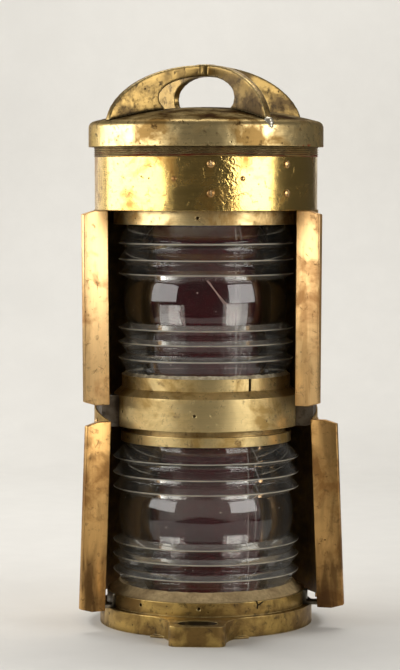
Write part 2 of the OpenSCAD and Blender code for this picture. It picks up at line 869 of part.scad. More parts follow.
// outside of the cap as a profile of radius and height, with a dome that runs smoothly into the shoulder
module cap_outline() {
    translate([0, cap_z])
        square([cap_r, cap_rim_h]);
    intersection() {
        translate([cap_flat_r, cap_edge_z])
            circle(r = cap_shoulder_r);
        translate([cap_flat_r, cap_edge_z])
            square(cap_shoulder_r);
    }
    intersection() {
        translate([0, dome_z])
            circle(r = dome_r);
        translate([0, cap_edge_z])
            square([dome_edge_r, dome_rise + e]);
    }
}

module cap() {
    color("#ad8a40")
    rotate_extrude()
        difference() {
            cap_outline();
            translate([0, cap_z - e])
                square([cap_bore_r, cap_ceiling_z - cap_z + e]);
            intersection() {
                translate([0, dome_z])
                    circle(r = dome_r - cap_dome_t);
                translate([0, cap_ceiling_z - e])
                    square([cap_hollow_r, cap_dome_h + cap_shoulder_r]);
            }
        }
}

// one arch of the handle, standing across the axis
module arch() {
    open_h = handle_h - handle_crown_h - handle_open_z;
    translate([0, handle_t / 2, 0])
        rotate([90, 0, 0])
            linear_extrude(handle_t)
                difference() {
                    polygon(ellipse(cap_edge_z, handle_span / 2, cap_shoulder_r + handle_h, 0, 180, 48));
                    polygon(ellipse(cap_top_z + handle_open_z, handle_open_w, open_h, 0, 360, 48));
                }
}

module handle() {
    color("#b8944a")
    difference() {
        rotate([0, 0, handle_az]) {
            arch();
            rotate([0, 0, 90])
                arch();
            translate([0, 0, cap_top_z + handle_h - handle_crown_h])
                cylinder(d = handle_boss_d, h = handle_crown_h + e / 2);
        }
        rotate_extrude()
            cap_outline();
    }
}

module clip_screw_places(r) {
    for (az = [left_clip_az, right_clip_az])
        for (side = [-1, 1])
            radial(az, r, clip_z + side * clip_screw_lift)
                children();
}

module bracket_screw_places() {
    for (az = [left_bracket_az, right_bracket_az])
        radial(az, lower_screen_at(bracket_mid_z) + screen_t + fit_gap, bracket_mid_z)
            children();
}

module upper_screen() {
    color("#8f6f33")
    difference() {
        swept(-upper_right_edge, 180 + upper_left_edge + upper_right_edge)
            translate([upper_screen_r, upper_screen_z])
                square([screen_t, collar_z - upper_screen_z]);
        clip_screw_places(upper_screen_r - clip_t)
            cylinder(d = screw_d, h = 2 * clip_t + screen_t, $fn = 32);
    }
}

module lower_screen() {
    color("#8f6f33")
    difference() {
        swept(-lower_right_edge, 180 + lower_left_edge + lower_right_edge)
            polygon([
                [lower_screen_foot_r, screen_low_z], [lower_screen_foot_r + screen_t, screen_low_z],
                [upper_screen_r + screen_t, lower_screen_z], [upper_screen_r + screen_t, screen_split_z],
                [upper_screen_r, screen_split_z], [upper_screen_r, lower_screen_z]
            ]);
        rotate([0, 0, (lower_left_edge - lower_right_edge) / 2])
            translate([0, -upper_screen_r * sin(screen_half_edge), lower_screen_z + screen_lip])
                rotate([screen_rise, 0, 0])
                    translate([-2 * upper_screen_r, -upper_screen_r, 0])
                        cube([4 * upper_screen_r, 4 * upper_screen_r, upper_screen_r]);
        clip_screw_places(upper_screen_r - clip_t)
            cylinder(d = screw_d, h = 2 * clip_t + screen_t, $fn = 32);
        bracket_screw_places()
            translate([0, 0, -screw_l])
                cylinder(d = screw_d, h = screw_l + e, $fn = 32);
    }
}

// flat strip set radially along a screen's edge, with sloped outer corners
module strip(low_r, low_z, high_r, high_z) {
    rotate([90, 0, 0])
        linear_extrude(strip_t)
            polygon([
                [low_r, low_z], [low_r + strip_w - strip_clip_w, low_z],
                [low_r + strip_w, low_z + strip_clip_h], [high_r + strip_w, high_z - strip_clip_h],
                [high_r + strip_w - strip_clip_w, high_z], [high_r, high_z]
            ]);
}

module upper_strip() {
    strip(upper_screen_r, upper_screen_z, upper_screen_r + strip_lean, collar_z);
}

module lower_strip() {
    strip(lower_screen_at(foot_h), foot_h, upper_screen_r, lower_screen_z);
}

module upper_right_strip() {
    color("#a3763a")
    rotate([0, 0, -upper_right_edge])
        upper_strip();
}

module upper_left_strip() {
    color("#a3763a")
    rotate([0, 0, 180 + upper_left_edge])
        translate([0, strip_t, 0])
            upper_strip();
}

module lower_right_strip() {
    color("#a3763a")
    rotate([0, 0, -lower_right_edge])
        lower_strip();
}

module lower_left_strip() {
    color("#a3763a")
    rotate([0, 0, 180 + lower_left_edge])
        translate([0, strip_t, 0])
            lower_strip();
}

// profile of a clip's web from the band to the screens, rounded at its lower outer corner
module clip_web() {
    low_z = clip_z - clip_h / 2;
    translate([band_r, low_z])
        square([upper_screen_r - band_r - clip_corner_r, clip_h]);
    translate([band_r, low_z + clip_corner_r])
        square([upper_screen_r - band_r, clip_h - clip_corner_r]);
    translate([upper_screen_r - clip_corner_r, low_z + clip_corner_r])
        circle(r = clip_corner_r);
}

// channel of bent sheet between the band and the inside of both screens, with its web toward the front
module clip(az, web_az) {
    difference() {
        union() {
            swept(az - clip_angle / 2, clip_angle) {
                translate([band_r, clip_z - clip_h / 2])
                    square([clip_t, clip_h]);
                translate([upper_screen_r - clip_t, clip_z - clip_h / 2])
                    square([clip_t, clip_h]);
            }
            swept(web_az - clip_web_angle / 2, clip_web_angle)
                clip_web();
        }
        for (side = [-1, 1])
            radial(az, upper_screen_r - 2 * clip_t, clip_z + side * clip_screw_lift)
                cylinder(d = screw_d, h = 3 * clip_t, $fn = 32);
    }
}

module screen_clips() {
    color("#8d8678") {
        clip(left_clip_az, left_clip_az + clip_angle / 2);
        clip(right_clip_az, right_clip_az - clip_angle / 2);
    }
}

module clip_screws() {
    color("#a27a45")
    for (az = [left_clip_az, right_clip_az]) {
        radial(az, upper_screen_r + screen_t, clip_z + clip_screw_lift)
            slotted_screw(screw_d, screw_l, screw_head_d, screw_head_h);
        radial(az, lower_screen_at(clip_z - clip_screw_lift) + screen_t + fit_gap, clip_z - clip_screw_lift)
            slotted_screw(screw_d, screw_l, screw_head_d, screw_head_h);
    }
}

// channel brackets that stand on the flange between its ring and the lower screen
module foot_brackets() {
    low_r = lower_screen_at(foot_h);
    high_r = lower_screen_at(foot_h + bracket_h);
    color("#a9a294")
    for (az = [left_bracket_az, right_bracket_az])
        difference() {
            swept(az - bracket_angle / 2, bracket_angle)
                polygon([
                    [foot_ring_r, foot_h], [low_r, foot_h], [high_r, foot_h + bracket_h],
                    [high_r - bracket_t, foot_h + bracket_h], [high_r - bracket_t, foot_h + bracket_t],
                    [foot_ring_r + bracket_t, foot_h + bracket_t],
                    [foot_ring_r + bracket_t, foot_h + bracket_h], [foot_ring_r, foot_h + bracket_h]
                ]);
            radial(az, low_r - 2 * bracket_t, bracket_mid_z)
                cylinder(d = screw_d, h = 3 * bracket_t, $fn = 32);
        }
}

module bracket_screws() {
    color("#a27a45")
    bracket_screw_places()
        slotted_screw(screw_d, screw_l, screw_head_d, screw_head_h);
}

module collar_screws() {
    color("#9b6238")
    intersection() {
        collar_screw_places(collar_r)
            slotted_screw(screw_d, screw_l, screw_head_d, screw_head_h + e / 2);
        translate([0, 0, collar_z])
            cylinder(r = collar_r + 2 * screw_head_h, h = collar_h);
    }
}

module collar_rivets() {
    color("#9b6238")
    for (az = rivet_az)
        radial(az, collar_r, screw_mid_z) {
            translate([0, 0, -collar_wall])
                cylinder(d = rivet_shank_d, h = collar_wall + e / 2, $fn = 32);
            intersection() {
                cylinder(d = rivet_d, h = rivet_d);
                translate([0, 0, -rivet_d / 2])
                    sphere(d = rivet_ball_d);
            }
        }
}

module ring_screws() {
    color("#9b7a45")
    for (az = ring_screw_az)
        at_polar(az, ring_screw_r, collar_z + collar_floor_t)
            slotted_screw(screw_d, screw_l, screw_head_d, screw_head_h);
}

module backing_plate() {
    color("#8f6f33")
    difference() {
        swept(collar_screw_az - backing_angle / 2, backing_angle)
            translate([backing_r, backing_z])
                square([backing_t, backing_h]);
        collar_screw_places(backing_r - e)
            cylinder(d = screw_d, h = backing_t + 2 * e, $fn = 32);
    }
}

module terminal_board() {
    color("#3a2418")
    difference() {
        intersection() {
            rotate([0, 0, collar_screw_az])
                translate([board_face_r, -board_w / 2, board_z])
                    cube([collar_r - board_face_r, board_w, board_h]);
            cylinder(r = backing_r, h = neck_z);
        }
        collar_screw_places(board_face_r + 2 * e)
            cylinder(d = screw_head_d, h = collar_r - board_face_r, $fn = 32);
        terminal_screw_places()
            translate([0, 0, -small_screw_l])
                cylinder(d = small_screw_d, h = small_screw_l + e, $fn = 32);
    }
}

module terminal_screw_places() {
    rotate([0, 0, collar_screw_az])
        for (i = [1 : board_screws])
            translate([(board_face_r + backing_r) / 2, i * board_screw_y - board_w / 2, board_z + board_h])
                children();
}

module terminal_screws() {
    color("#c0a050")
    terminal_screw_places()
        slotted_screw(small_screw_d, small_screw_l, screw_head_d, screw_head_h);
}

// cable gland on the pad at the back of the collar
module gland_body() {
    color("#b08d42")
    radial(90, gland_face_r, gland_z)
        difference() {
            union() {
                translate([0, 0, -gland_spigot_h])
                    cylinder(r = gland_spigot_r, h = gland_spigot_h + e);
                cylinder(d = gland_hex_d, h = gland_hex_h, $fn = 6);
                cylinder(r = gland_neck_r, h = gland_hex_h + gland_neck_h);
            }
            translate([0, 0, -gland_spigot_h - e])
                cylinder(r = gland_throat_r, h = gland_spigot_h + gland_hex_h + gland_neck_h);
            translate([0, 0, gland_socket_z])
                cylinder(r = gland_socket_r, h = gland_hex_h + gland_neck_h);
        }
}

module gland_seal() {
    color("#26221f")
    radial(90, gland_face_r + gland_socket_z, gland_z)
        tube(gland_socket_r, gland_bore_r, gland_seal_h);
}

module gland_nut() {
    nut_floor_z = gland_hex_h + gland_neck_h + fit_gap;
    lip_z = gland_socket_z + gland_seal_h;
    color("#a8863f")
    radial(90, gland_face_r, gland_z)
        difference() {
            union() {
                difference() {
                    translate([0, 0, gland_nut_z])
                        cylinder(d = gland_nut_d, h = gland_nut_h, $fn = 6);
                    translate([0, 0, gland_nut_z - e])
                        cylinder(r = gland_neck_r + fit_gap, h = nut_floor_z - gland_nut_z + e);
                }
                translate([0, 0, lip_z])
                    cylinder(r = gland_socket_r - 2 * fit_gap, h = nut_floor_z - lip_z + e);
            }
            translate([0, 0, lip_z - e])
                cylinder(r = gland_throat_r, h = gland_nut_h);
        }
}

module lamp_deck() {
    color("#9c7a38")
    translate([0, 0, deck_z])
        difference() {
            cylinder(r = deck_r, h = deck_t);
            at_polar(lower_lead_az, lead_run_r, -e)
                cylinder(r = lead_hole_r, h = deck_t + 2 * e, $fn = 32);
            for (az = deck_screw_az)
                at_polar(az, lead_run_r, -e)
                    cylinder(d = small_screw_d, h = deck_t + 2 * e, $fn = 32);
            for (az = deck_screw_az)
                at_polar(az, pedestal_screw_r, -e)
                    cylinder(d = small_screw_d, h = deck_t + 2 * e, $fn = 32);
        }
}

module deck_screws() {
    color("#b59a5a")
    for (az = deck_screw_az)
        at_polar(az, lead_run_r, deck_z + deck_t)
            slotted_screw(small_screw_d, small_screw_l, small_head_d, screw_head_h);
}

// ring with a groove for a filter glass and a hole for the lead
module filter_seat(z, lead_az) {
    seat_out_r = filter_r + filter_wall + e;
    seat_in_r = filter_r - 2 * filter_wall;
    color("#9c7a38")
    translate([0, 0, z])
        difference() {
            tube(seat_out_r, seat_in_r, filter_seat_h);
            translate([0, 0, filter_seat_h - filter_groove_d])
                difference() {
                    cylinder(r = filter_r + glass_gap, h = filter_groove_d + e);
                    translate([0, 0, -e])
                        cylinder(r = filter_r - filter_wall - glass_gap, h = filter_groove_d + 3 * e);
                }
            radial(lead_az, seat_in_r - e, lead_lift)
                cylinder(r = lead_hole_r, h = seat_out_r - seat_in_r + 2 * e, $fn = 32);
        }
}

module filter(z, top_z) {
    low_z = z + filter_seat_h - filter_groove_d;
    color([0.45, 0.03, 0.05, 0.6])
    translate([0, 0, low_z])
        tube(filter_r, filter_r - filter_wall, top_z - filter_head_gap - low_z);
}

// tube with end plates that lifts a lamp holder to the lens's mid-height
module pedestal(z, top_z, lead_az) {
    h = top_z - z;
    color("#a08040")
    translate([0, 0, z])
        difference() {
            union() {
                cylinder(r = pedestal_foot_r, h = pedestal_plate_t);
                cylinder(r = pedestal_r, h = h);
                translate([0, 0, h - pedestal_plate_t])
                    cylinder(r = pedestal_top_r, h = pedestal_plate_t);
            }
            translate([0, 0, -e])
                cylinder(r = pedestal_bore_r, h = h + 2 * e);
            rotate([0, 0, lead_az])
                translate([0, -lead_notch_w / 2, -e])
                    cube([pedestal_foot_r + e, lead_notch_w, lead_notch_w + e]);
            for (az = deck_screw_az)
                at_polar(az, pedestal_screw_r, -e)
                    cylinder(d = small_screw_d, h = pedestal_plate_t + 2 * e, $fn = 32);
        }
}

module pedestal_screws() {
    color("#b59a5a")
    for (az = deck_screw_az) {
        at_polar(az, pedestal_screw_r, foot_floor_h + pedestal_plate_t)
            slotted_screw(small_screw_d, small_screw_l, small_head_d, screw_head_h);
        at_polar(az, pedestal_screw_r, deck_z + deck_t + pedestal_plate_t)
            slotted_screw(small_screw_d, small_screw_l, small_head_d, screw_head_h);
    }
}

module lamp_holder(focus_z) {
    socket_z = focus_z - lamp_focus - lamp_cap_l;
    color("#d8d2c4")
    difference() {
        translate([0, 0, socket_z - holder_floor_t])
            cylinder(r = holder_r, h = holder_h);
        translate([0, 0, socket_z])
            cylinder(r = lamp_cap_r + fit_gap, h = holder_h);
    }
}

module lamp_cap(focus_z) {
    color("#c8a850")
    translate([0, 0, focus_z - lamp_focus - lamp_cap_l])
        cylinder(r = lamp_cap_r, h = lamp_cap_l);
}

module bulb(focus_z) {
    color([0.9, 0.92, 0.92, 0.4])
    translate([0, 0, focus_z])
        difference() {
            union() {
                sphere(r = bulb_r);
                translate([0, 0, -lamp_focus])
                    cylinder(r = bulb_neck_r, h = lamp_focus);
            }
            sphere(r = bulb_r - bulb_wall);
            translate([0, 0, bulb_wall - lamp_focus])
                cylinder(r = bulb_neck_r - bulb_wall, h = lamp_focus);
        }
}

// height of the pedestal's top below a lamp's filament
function pedestal_top(focus_z) = focus_z - lamp_focus - lamp_cap_l - holder_floor_t;

module lower_filter_seat() {
    filter_seat(foot_floor_h, lower_lead_az);
}

module lower_filter() {
    filter(foot_floor_h, band_z);
}

module lower_pedestal() {
    pedestal(foot_floor_h, pedestal_top(lower_focus_z), lower_lead_az);
}

module lower_lamp_holder() {
    lamp_holder(lower_focus_z);
}

module lower_lamp_cap() {
    lamp_cap(lower_focus_z);
}

module lower_bulb() {
    bulb(lower_focus_z);
}

module upper_filter_seat() {
    filter_seat(deck_z + deck_t, upper_lead_az);
}

module upper_filter() {
    filter(deck_z + deck_t, collar_z);
}

module upper_pedestal() {
    pedestal(deck_z + deck_t, pedestal_top(upper_focus_z), upper_lead_az);
}

module upper_lamp_holder() {
    lamp_holder(upper_focus_z);
}

module upper_lamp_cap() {
    lamp_cap(upper_focus_z);
}

module upper_bulb() {
    bulb(upper_focus_z);
}

// lead from the terminal board round the collar, down beside the filter glass and in to a pedestal
module lead(board_az, ring_r, az, floor_z) {
    low_z = floor_z + lead_lift;
    color("#3b2f28") {
        at_polar(board_az, ring_r, lead_z)
            cylinder(r = lead_r, h = board_z - lead_z, $fn = 32);
        swept(board_az, az - board_az)
            translate([ring_r, lead_z])
                circle(r = lead_r, $fn = 32);
        radial(az, lead_run_r, lead_z)
            cylinder(r = lead_r, h = ring_r - lead_run_r, $fn = 32);
        at_polar(az, lead_run_r, low_z)
            cylinder(r = lead_r, h = lead_z - low_z, $fn = 32);
        radial(az, pedestal_bore_r, low_z)
            cylinder(r = lead_r, h = lead_run_r - pedestal_bore_r, $fn = 32);
        at_polar(board_az, ring_r, lead_z)
            sphere(r = knuckle * lead_r, $fn = 32);
        at_polar(az, ring_r, lead_z)
            sphere(r = knuckle * lead_r, $fn = 32);
        at_polar(az, lead_run_r, lead_z)
            sphere(r = knuckle * lead_r, $fn = 32);
        at_polar(az, lead_run_r, low_z)
            sphere(r = knuckle * lead_r, $fn = 32);
    }
}

module upper_lead() {
    lead(collar_screw_az + lead_board_az, board_face_r + upper_lead_step, upper_lead_az, deck_z + deck_t);
}

module lower_lead() {
    lead(collar_screw_az - lead_board_az, board_face_r + lower_lead_step, lower_lead_az, foot_floor_h);
}

foot_casting();
lower_lens_bottom_seal();
lower_lens();
lower_putty();
lower_lens_top_seal();
lower_clamp_ring();
middle_band();
upper_clamp_ring();
upper_lens_bottom_seal();
upper_lens();
upper_putty();
upper_lens_top_seal();
upper_lens_ring();
collar();
threaded_neck();
cap_seal();
cap();
handle();
upper_screen();
lower_screen();
upper_left_strip();
upper_right_strip();
lower_left_strip();
lower_right_strip();
screen_clips();
clip_screws();
foot_brackets();
bracket_screws();
collar_screws();
collar_rivets();
ring_screws();
backing_plate();
terminal_board();
terminal_screws();
gland_body();
gland_seal();
gland_nut();
lamp_deck();
deck_screws();
pedestal_screws();
lower_filter_seat();
lower_filter();
lower_pedestal();
lower_lamp_holder();
lower_lamp_cap();
lower_bulb();
upper_filter_seat();
upper_filter();
upper_pedestal();
upper_lamp_holder();
upper_lamp_cap();
upper_bulb();
upper_lead();
lower_lead();
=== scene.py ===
"""Looks of the double ship lantern: aged brass, pressed glass and old putty in a plain studio."""
import math

import bpy
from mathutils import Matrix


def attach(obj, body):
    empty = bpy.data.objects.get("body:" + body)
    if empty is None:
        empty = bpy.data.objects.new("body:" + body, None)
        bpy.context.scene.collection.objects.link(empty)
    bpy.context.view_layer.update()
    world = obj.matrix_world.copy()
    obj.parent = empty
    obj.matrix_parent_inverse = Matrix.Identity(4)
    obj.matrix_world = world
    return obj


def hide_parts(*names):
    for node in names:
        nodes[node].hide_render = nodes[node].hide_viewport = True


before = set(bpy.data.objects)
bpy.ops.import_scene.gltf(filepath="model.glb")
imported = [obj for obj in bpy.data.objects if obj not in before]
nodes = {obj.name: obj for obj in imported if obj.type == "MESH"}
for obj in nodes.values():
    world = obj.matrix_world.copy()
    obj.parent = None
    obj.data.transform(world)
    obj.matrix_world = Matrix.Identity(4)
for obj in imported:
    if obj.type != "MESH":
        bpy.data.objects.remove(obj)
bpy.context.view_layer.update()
scene = bpy.context.scene
mm = 0.001

# radii, heights and bearings that pieces and finishes are fitted to: mm, and degrees right of the front
lower_tip, lower_mid_z, lower_lift = 92.5, 107.5, 2.0
upper_tip, upper_mid_z, upper_lift = 87.0, 322.5, -1.0
lens_foot_r, belt_half, belt_inset = 78, 20, 5.5
foot_ring_r, crack_bearing = 99, 33.5
bolt_y, dish_top_z = 131, 19
upper_seat_z, foot_top_z = 248.0, 33.0
neck_z, cap_z, cap_edge_z, handle_low_z, handle_high_z = 463, 473, 491.5, 508, 542


def colour(code):
    """An sRGB hex code as linear RGBA."""
    parts = [int(code[i : i + 2], 16) / 255 for i in (1, 3, 5)]
    return [c / 12.92 if c <= 0.04045 else ((c + 0.055) / 1.055) ** 2.4 for c in parts] + [1.0]


def add(m, kind, inputs=None, out=0, **settings):
    """Adds a node to a material with its settings and links, and gives the socket that it puts out."""
    made = m.node_tree.nodes.new("ShaderNode" + kind)
    for key, value in settings.items():
        setattr(made, key, value)
    for key, value in (inputs or {}).items():
        if isinstance(value, bpy.types.NodeSocket):
            m.node_tree.links.new(value, made.inputs[key])
        else:
            made.inputs[key].default_value = value
    return made if out is None else made.outputs[out]


def start(name):
    """An empty material, and the place on the piece in metres: there a scale of 1000 / n is n mm wide."""
    m = bpy.data.materials.new(name)
    m.use_nodes = True
    m.node_tree.nodes.clear()
    return m, add(m, "TexCoord", out="Object")


def close(m, **sockets):
    """Ends a material in one surface shader."""
    inputs = {key.replace("_", " "): value for key, value in sockets.items()}
    shader = add(m, "BsdfPrincipled", inputs, out=None)
    add(m, "OutputMaterial", {"Surface": shader.outputs[0]}, out=None)
    return shader


def lay(m, shader, socket, share, new):
    """Lays a colour or a value over what feeds a socket of the surface, as far as share says."""
    old = shader.inputs[socket].links[0].from_socket
    under, over, out, kind = (6, 7, 2, "RGBA") if isinstance(new, list) else (2, 3, 0, "FLOAT")
    fresh = add(m, "Mix", {0: share, under: old, over: new}, out=out, data_type=kind)
    m.node_tree.links.new(fresh, shader.inputs[socket])


def aged(name, clean, tarnish, stain, edge, rough, metal, patina, spotting, grain_mm, dent_mm, pits, edge_mm,
         corner_mm=7, **sockets):
    """Old copper alloy: polish that survives on edges and high places, cloudy tarnish about 40 mm across,
    brown stains of 9 mm, pits of 1.5 mm, scratches, shallow dents of 26 mm, painted shade with some grime in
    corners, and marks along the way it was worked, drawn coarser than real ones so that they show. The
    tarnish is a thin film, so metal gives how much bare metal shows where it is clean and where it is dull."""
    m, at = start(name)
    cloud = add(m, "TexNoise", {
        "Vector": at, "Scale": 1000 / 42, "Detail": 5.0, "Roughness": 0.62, "Distortion": 0.5})
    dull = add(m, "MapRange", {0: cloud, 1: 0.64 - 0.34 * patina, 2: 0.78 - 0.32 * patina})
    blotch = add(m, "TexNoise", {
        "Vector": at, "Scale": 1000 / 9, "Detail": 6.0, "Roughness": 0.68, "Distortion": 0.3})
    spots = add(m, "MapRange", {0: blotch, 1: 0.60 - 0.08 * patina, 2: 0.70 - 0.07 * patina, 4: spotting})
    cells = add(m, "TexVoronoi", {"Vector": at, "Scale": 1000 / 8})
    hollow = add(m, "MapRange", {0: cells, 1: 0.06, 2: 0.14, 3: 0.9, 4: 0.0})
    chosen = add(m, "SeparateColor", {0: cells.node.outputs["Color"]})
    chosen = add(m, "MapRange", {0: chosen, 1: 0.98 - pits, 2: 1.0 - pits})
    pit = add(m, "Math", {0: hollow, 1: chosen}, operation="MULTIPLY")
    lines = add(m, "TexVoronoi", {"Vector": at, "Scale": 1000 / 17}, feature="DISTANCE_TO_EDGE")
    lines = add(m, "MapRange", {0: lines, 1: 0.006, 2: 0.016, 3: 0.6, 4: 0.0})
    some = add(m, "MapRange", {0: blotch, 1: 0.52, 2: 0.60})
    scratch = add(m, "Math", {0: lines, 1: some}, operation="MULTIPLY")
    along = add(m, "VectorMath", {0: at, 1: [size * mm for size in grain_mm]}, operation="DIVIDE")
    marks = add(m, "TexNoise", {"Vector": along, "Scale": 1.0, "Detail": 4.0, "Roughness": 0.7})
    # painted shade: ambient occlusion darkens corners, slots and thread roots with the stain colour, and also
    # roughens them as grime
    corner = add(m, "AmbientOcclusion", {"Distance": corner_mm * mm}, out="AO", samples=6)
    corner_shade_and_grime = add(m, "MapRange", {0: corner, 1: 0.30, 2: 0.85, 3: 0.85, 4: 0.0})
    # the edge colour goes where the eased normal turns away from the flat one: rubbed polish, and on the
    # screws' wide easing a painted glint
    eased = add(m, "Bevel", {"Radius": edge_mm * mm}, samples=6)
    flat = add(m, "NewGeometry", out="Normal")
    turn = add(m, "VectorMath", {0: eased, 1: flat}, out="Value", operation="DOT_PRODUCT")
    turn = add(m, "MapRange", {0: turn, 1: 0.80, 2: 0.985, 3: 0.85, 4: 0.0})
    rubbed = add(m, "MapRange", {0: blotch, 1: 0.40, 2: 0.55, 3: 1.0, 4: 0.45})
    worn = add(m, "Math", {0: turn, 1: rubbed}, operation="MULTIPLY")

    base = add(m, "Mix", {0: dull, 6: colour(clean), 7: colour(tarnish)}, out=2, data_type="RGBA")
    streaks = add(m, "MapRange", {0: marks, 1: 0.35, 2: 0.65, 3: 0.92, 4: 1.04})
    base = add(m, "Mix", {0: 1.0, 6: base, 7: streaks}, out=2, data_type="RGBA", blend_type="MULTIPLY")
    for share, tint in ((spots, stain), (corner_shade_and_grime, stain), (scratch, stain), (worn, edge), (pit, "#2a1c0e")):
        base = add(m, "Mix", {0: share, 6: base, 7: colour(tint)}, out=2, data_type="RGBA")

    coarse = add(m, "MapRange", {0: dull, 3: rough, 4: rough + 0.16})
    for share, more in ((spots, 0.14), (corner_shade_and_grime, 0.25), (marks, 0.10)):
        coarse = add(m, "Math", {0: share, 1: more, 2: coarse}, operation="MULTIPLY_ADD", use_clamp=True)

    waves = add(m, "TexNoise", {"Vector": at, "Scale": 1000 / 26, "Detail": 2.5})
    normal = add(m, "Bump", {"Strength": 1.0, "Distance": dent_mm * mm, "Height": waves, "Normal": eased})
    fine = add(m, "Math", {0: marks, 1: 0.22}, operation="MULTIPLY")
    for share, rise in ((pit, -1.0), (scratch, -0.6), (blotch, 0.30)):
        fine = add(m, "Math", {0: share, 1: rise, 2: fine}, operation="MULTIPLY_ADD")
    normal = add(m, "Bump", {"Strength": 0.7, "Distance": 0.35 * mm, "Height": fine, "Normal": normal})

    bare = add(m, "MapRange", {0: dull, 3: metal[0], 4: metal[1]})
    bare = add(m, "Math", {0: spots, 1: -0.25, 2: bare}, operation="MULTIPLY_ADD")
    return m, at, close(m, Base_Color=base, Roughness=coarse, Normal=normal, Metallic=bare, **sockets)


def stroke(m, u, v, begin, end, wide_mm):
    """A thin line between two places in mm, on a surface whose own two directions are u and v in metres."""
    du, dv = end[0] - begin[0], end[1] - begin[1]
    far = (du * du + dv * dv) * mm
    from_u = add(m, "Math", {0: u, 1: begin[0] * mm}, operation="SUBTRACT")
    from_v = add(m, "Math", {0: v, 1: begin[1] * mm}, operation="SUBTRACT")
    share = add(m, "Math", {0: from_v, 1: dv / far}, operation="MULTIPLY")
    share = add(m, "Math", {0: from_u, 1: du / far, 2: share}, operation="MULTIPLY_ADD", use_clamp=True)
    off_u = add(m, "Math", {0: share, 1: -du * mm, 2: from_u}, operation="MULTIPLY_ADD")
    off_v = add(m, "Math", {0: share, 1: -dv * mm, 2: from_v}, operation="MULTIPLY_ADD")
    off = add(m, "CombineXYZ", {0: off_u, 1: off_v})
    off = add(m, "VectorMath", {0: off}, out="Value", operation="LENGTH")
    return add(m, "MapRange", {0: off, 1: 0.3 * wide_mm * mm, 2: 0.6 * wide_mm * mm, 3: 1.0, 4: 0.0})


def around(m, x, y, radius_mm, from_degrees):
    """Distance around the axis at a radius, counted from a direction right of the front."""
    ahead = add(m, "Math", {0: y, 1: -1.0}, operation="MULTIPLY")
    bearing = add(m, "Math", {0: x, 1: ahead}, operation="ARCTAN2")
    turn = add(m, "Math", {0: bearing, 1: math.radians(from_degrees)}, operation="SUBTRACT")
    return add(m, "Math", {0: turn, 1: radius_mm * mm}, operation="MULTIPLY")


# Cast brass of the foot: sand-cast and filed, gone brown, with casting pits, knocks and rubbed edges.
foot_brass, at, shader = aged(
    "cast_brass_foot", clean="#bd9d59", tarnish="#7a5e30", stain="#322209", edge="#f4dc9c", rough=0.24,
    metal=(0.90, 0.72), patina=0.60, spotting=0.70, grain_mm=(17, 17, 2.4), dent_mm=0.90, pits=0.32,
    edge_mm=1.6)
m = foot_brass
x, y, z = add(m, "SeparateXYZ", {0: at}).node.outputs
wander = add(m, "TexNoise", {"Vector": at, "Scale": 1000 / 4, "Detail": 3.0})
along = around(m, x, y, foot_ring_r, crack_bearing)
along = add(m, "Math", {0: wander, 1: 2.4 * mm, 2: along}, operation="MULTIPLY_ADD")
# the crack that runs down the ring's face front right, and its branches
for begin, end, wide in (
    ((1.2, 33.5), (1.6, 26.2), 1.8), ((1.4, 28.8), (8.0, 32.0), 1.5), ((1.2, 33.0), (-1.5, 34.0), 1.6),
):
    crack = stroke(m, along, z, begin, end, wide)
    lay(m, shader, "Base Color", crack, colour("#120c06"))
    lay(m, shader, "Roughness", crack, 0.8)
# painted shade: the dishes around the holding-down holes made near black and matt, darkest on their floors
side = add(m, "Math", {0: y}, operation="ABSOLUTE")
side = add(m, "Math", {0: side, 1: bolt_y * mm}, operation="SUBTRACT")
across = add(m, "Math", {0: x, 1: 0.62}, operation="MULTIPLY")
dish_shade = add(m, "CombineXYZ", {0: across, 1: side})
dish_shade = add(m, "VectorMath", {0: dish_shade}, out="Value", operation="LENGTH")
dish_shade = add(m, "MapRange", {0: dish_shade, 1: 13.4 * mm, 2: 15.0 * mm, 3: 0.9, 4: 0.0})
low = add(m, "MapRange", {0: z, 1: dish_top_z * mm, 2: (dish_top_z + 0.4) * mm, 3: 1.0, 4: 0.2})
dish_shade = add(m, "Math", {0: dish_shade, 1: low}, operation="MULTIPLY")
lay(m, shader, "Base Color", dish_shade, colour("#1f150b"))
lay(m, shader, "Roughness", dish_shade, 0.6)

# Turned brass of the rings and band: lathe marks run around it, polish is duller and greener than the
# collar's.
ring_brass = aged(
    "turned_brass_rings", clean="#ecd092", tarnish="#a98a4f", stain="#5d4120", edge="#f3dc9c", rough=0.26,
    metal=(0.86, 0.72), patina=0.52, spotting=0.6, grain_mm=(38, 38, 0.8), dent_mm=0.42, pits=0.14,
    edge_mm=0.9)[0]
# The ring under the collar is a paler, more satin copy of the ring brass: painted light against the collar's
# shade.
top_ring_lit_brass = aged(
    "satin_brass_top_ring", clean="#f0d69b", tarnish="#b28f56", stain="#6b4c26", edge="#f6e2ab", rough=0.28,
    metal=(0.84, 0.72), patina=0.46, spotting=0.4, grain_mm=(38, 38, 0.8), dent_mm=0.28, pits=0.10,
    edge_mm=0.9)[0]

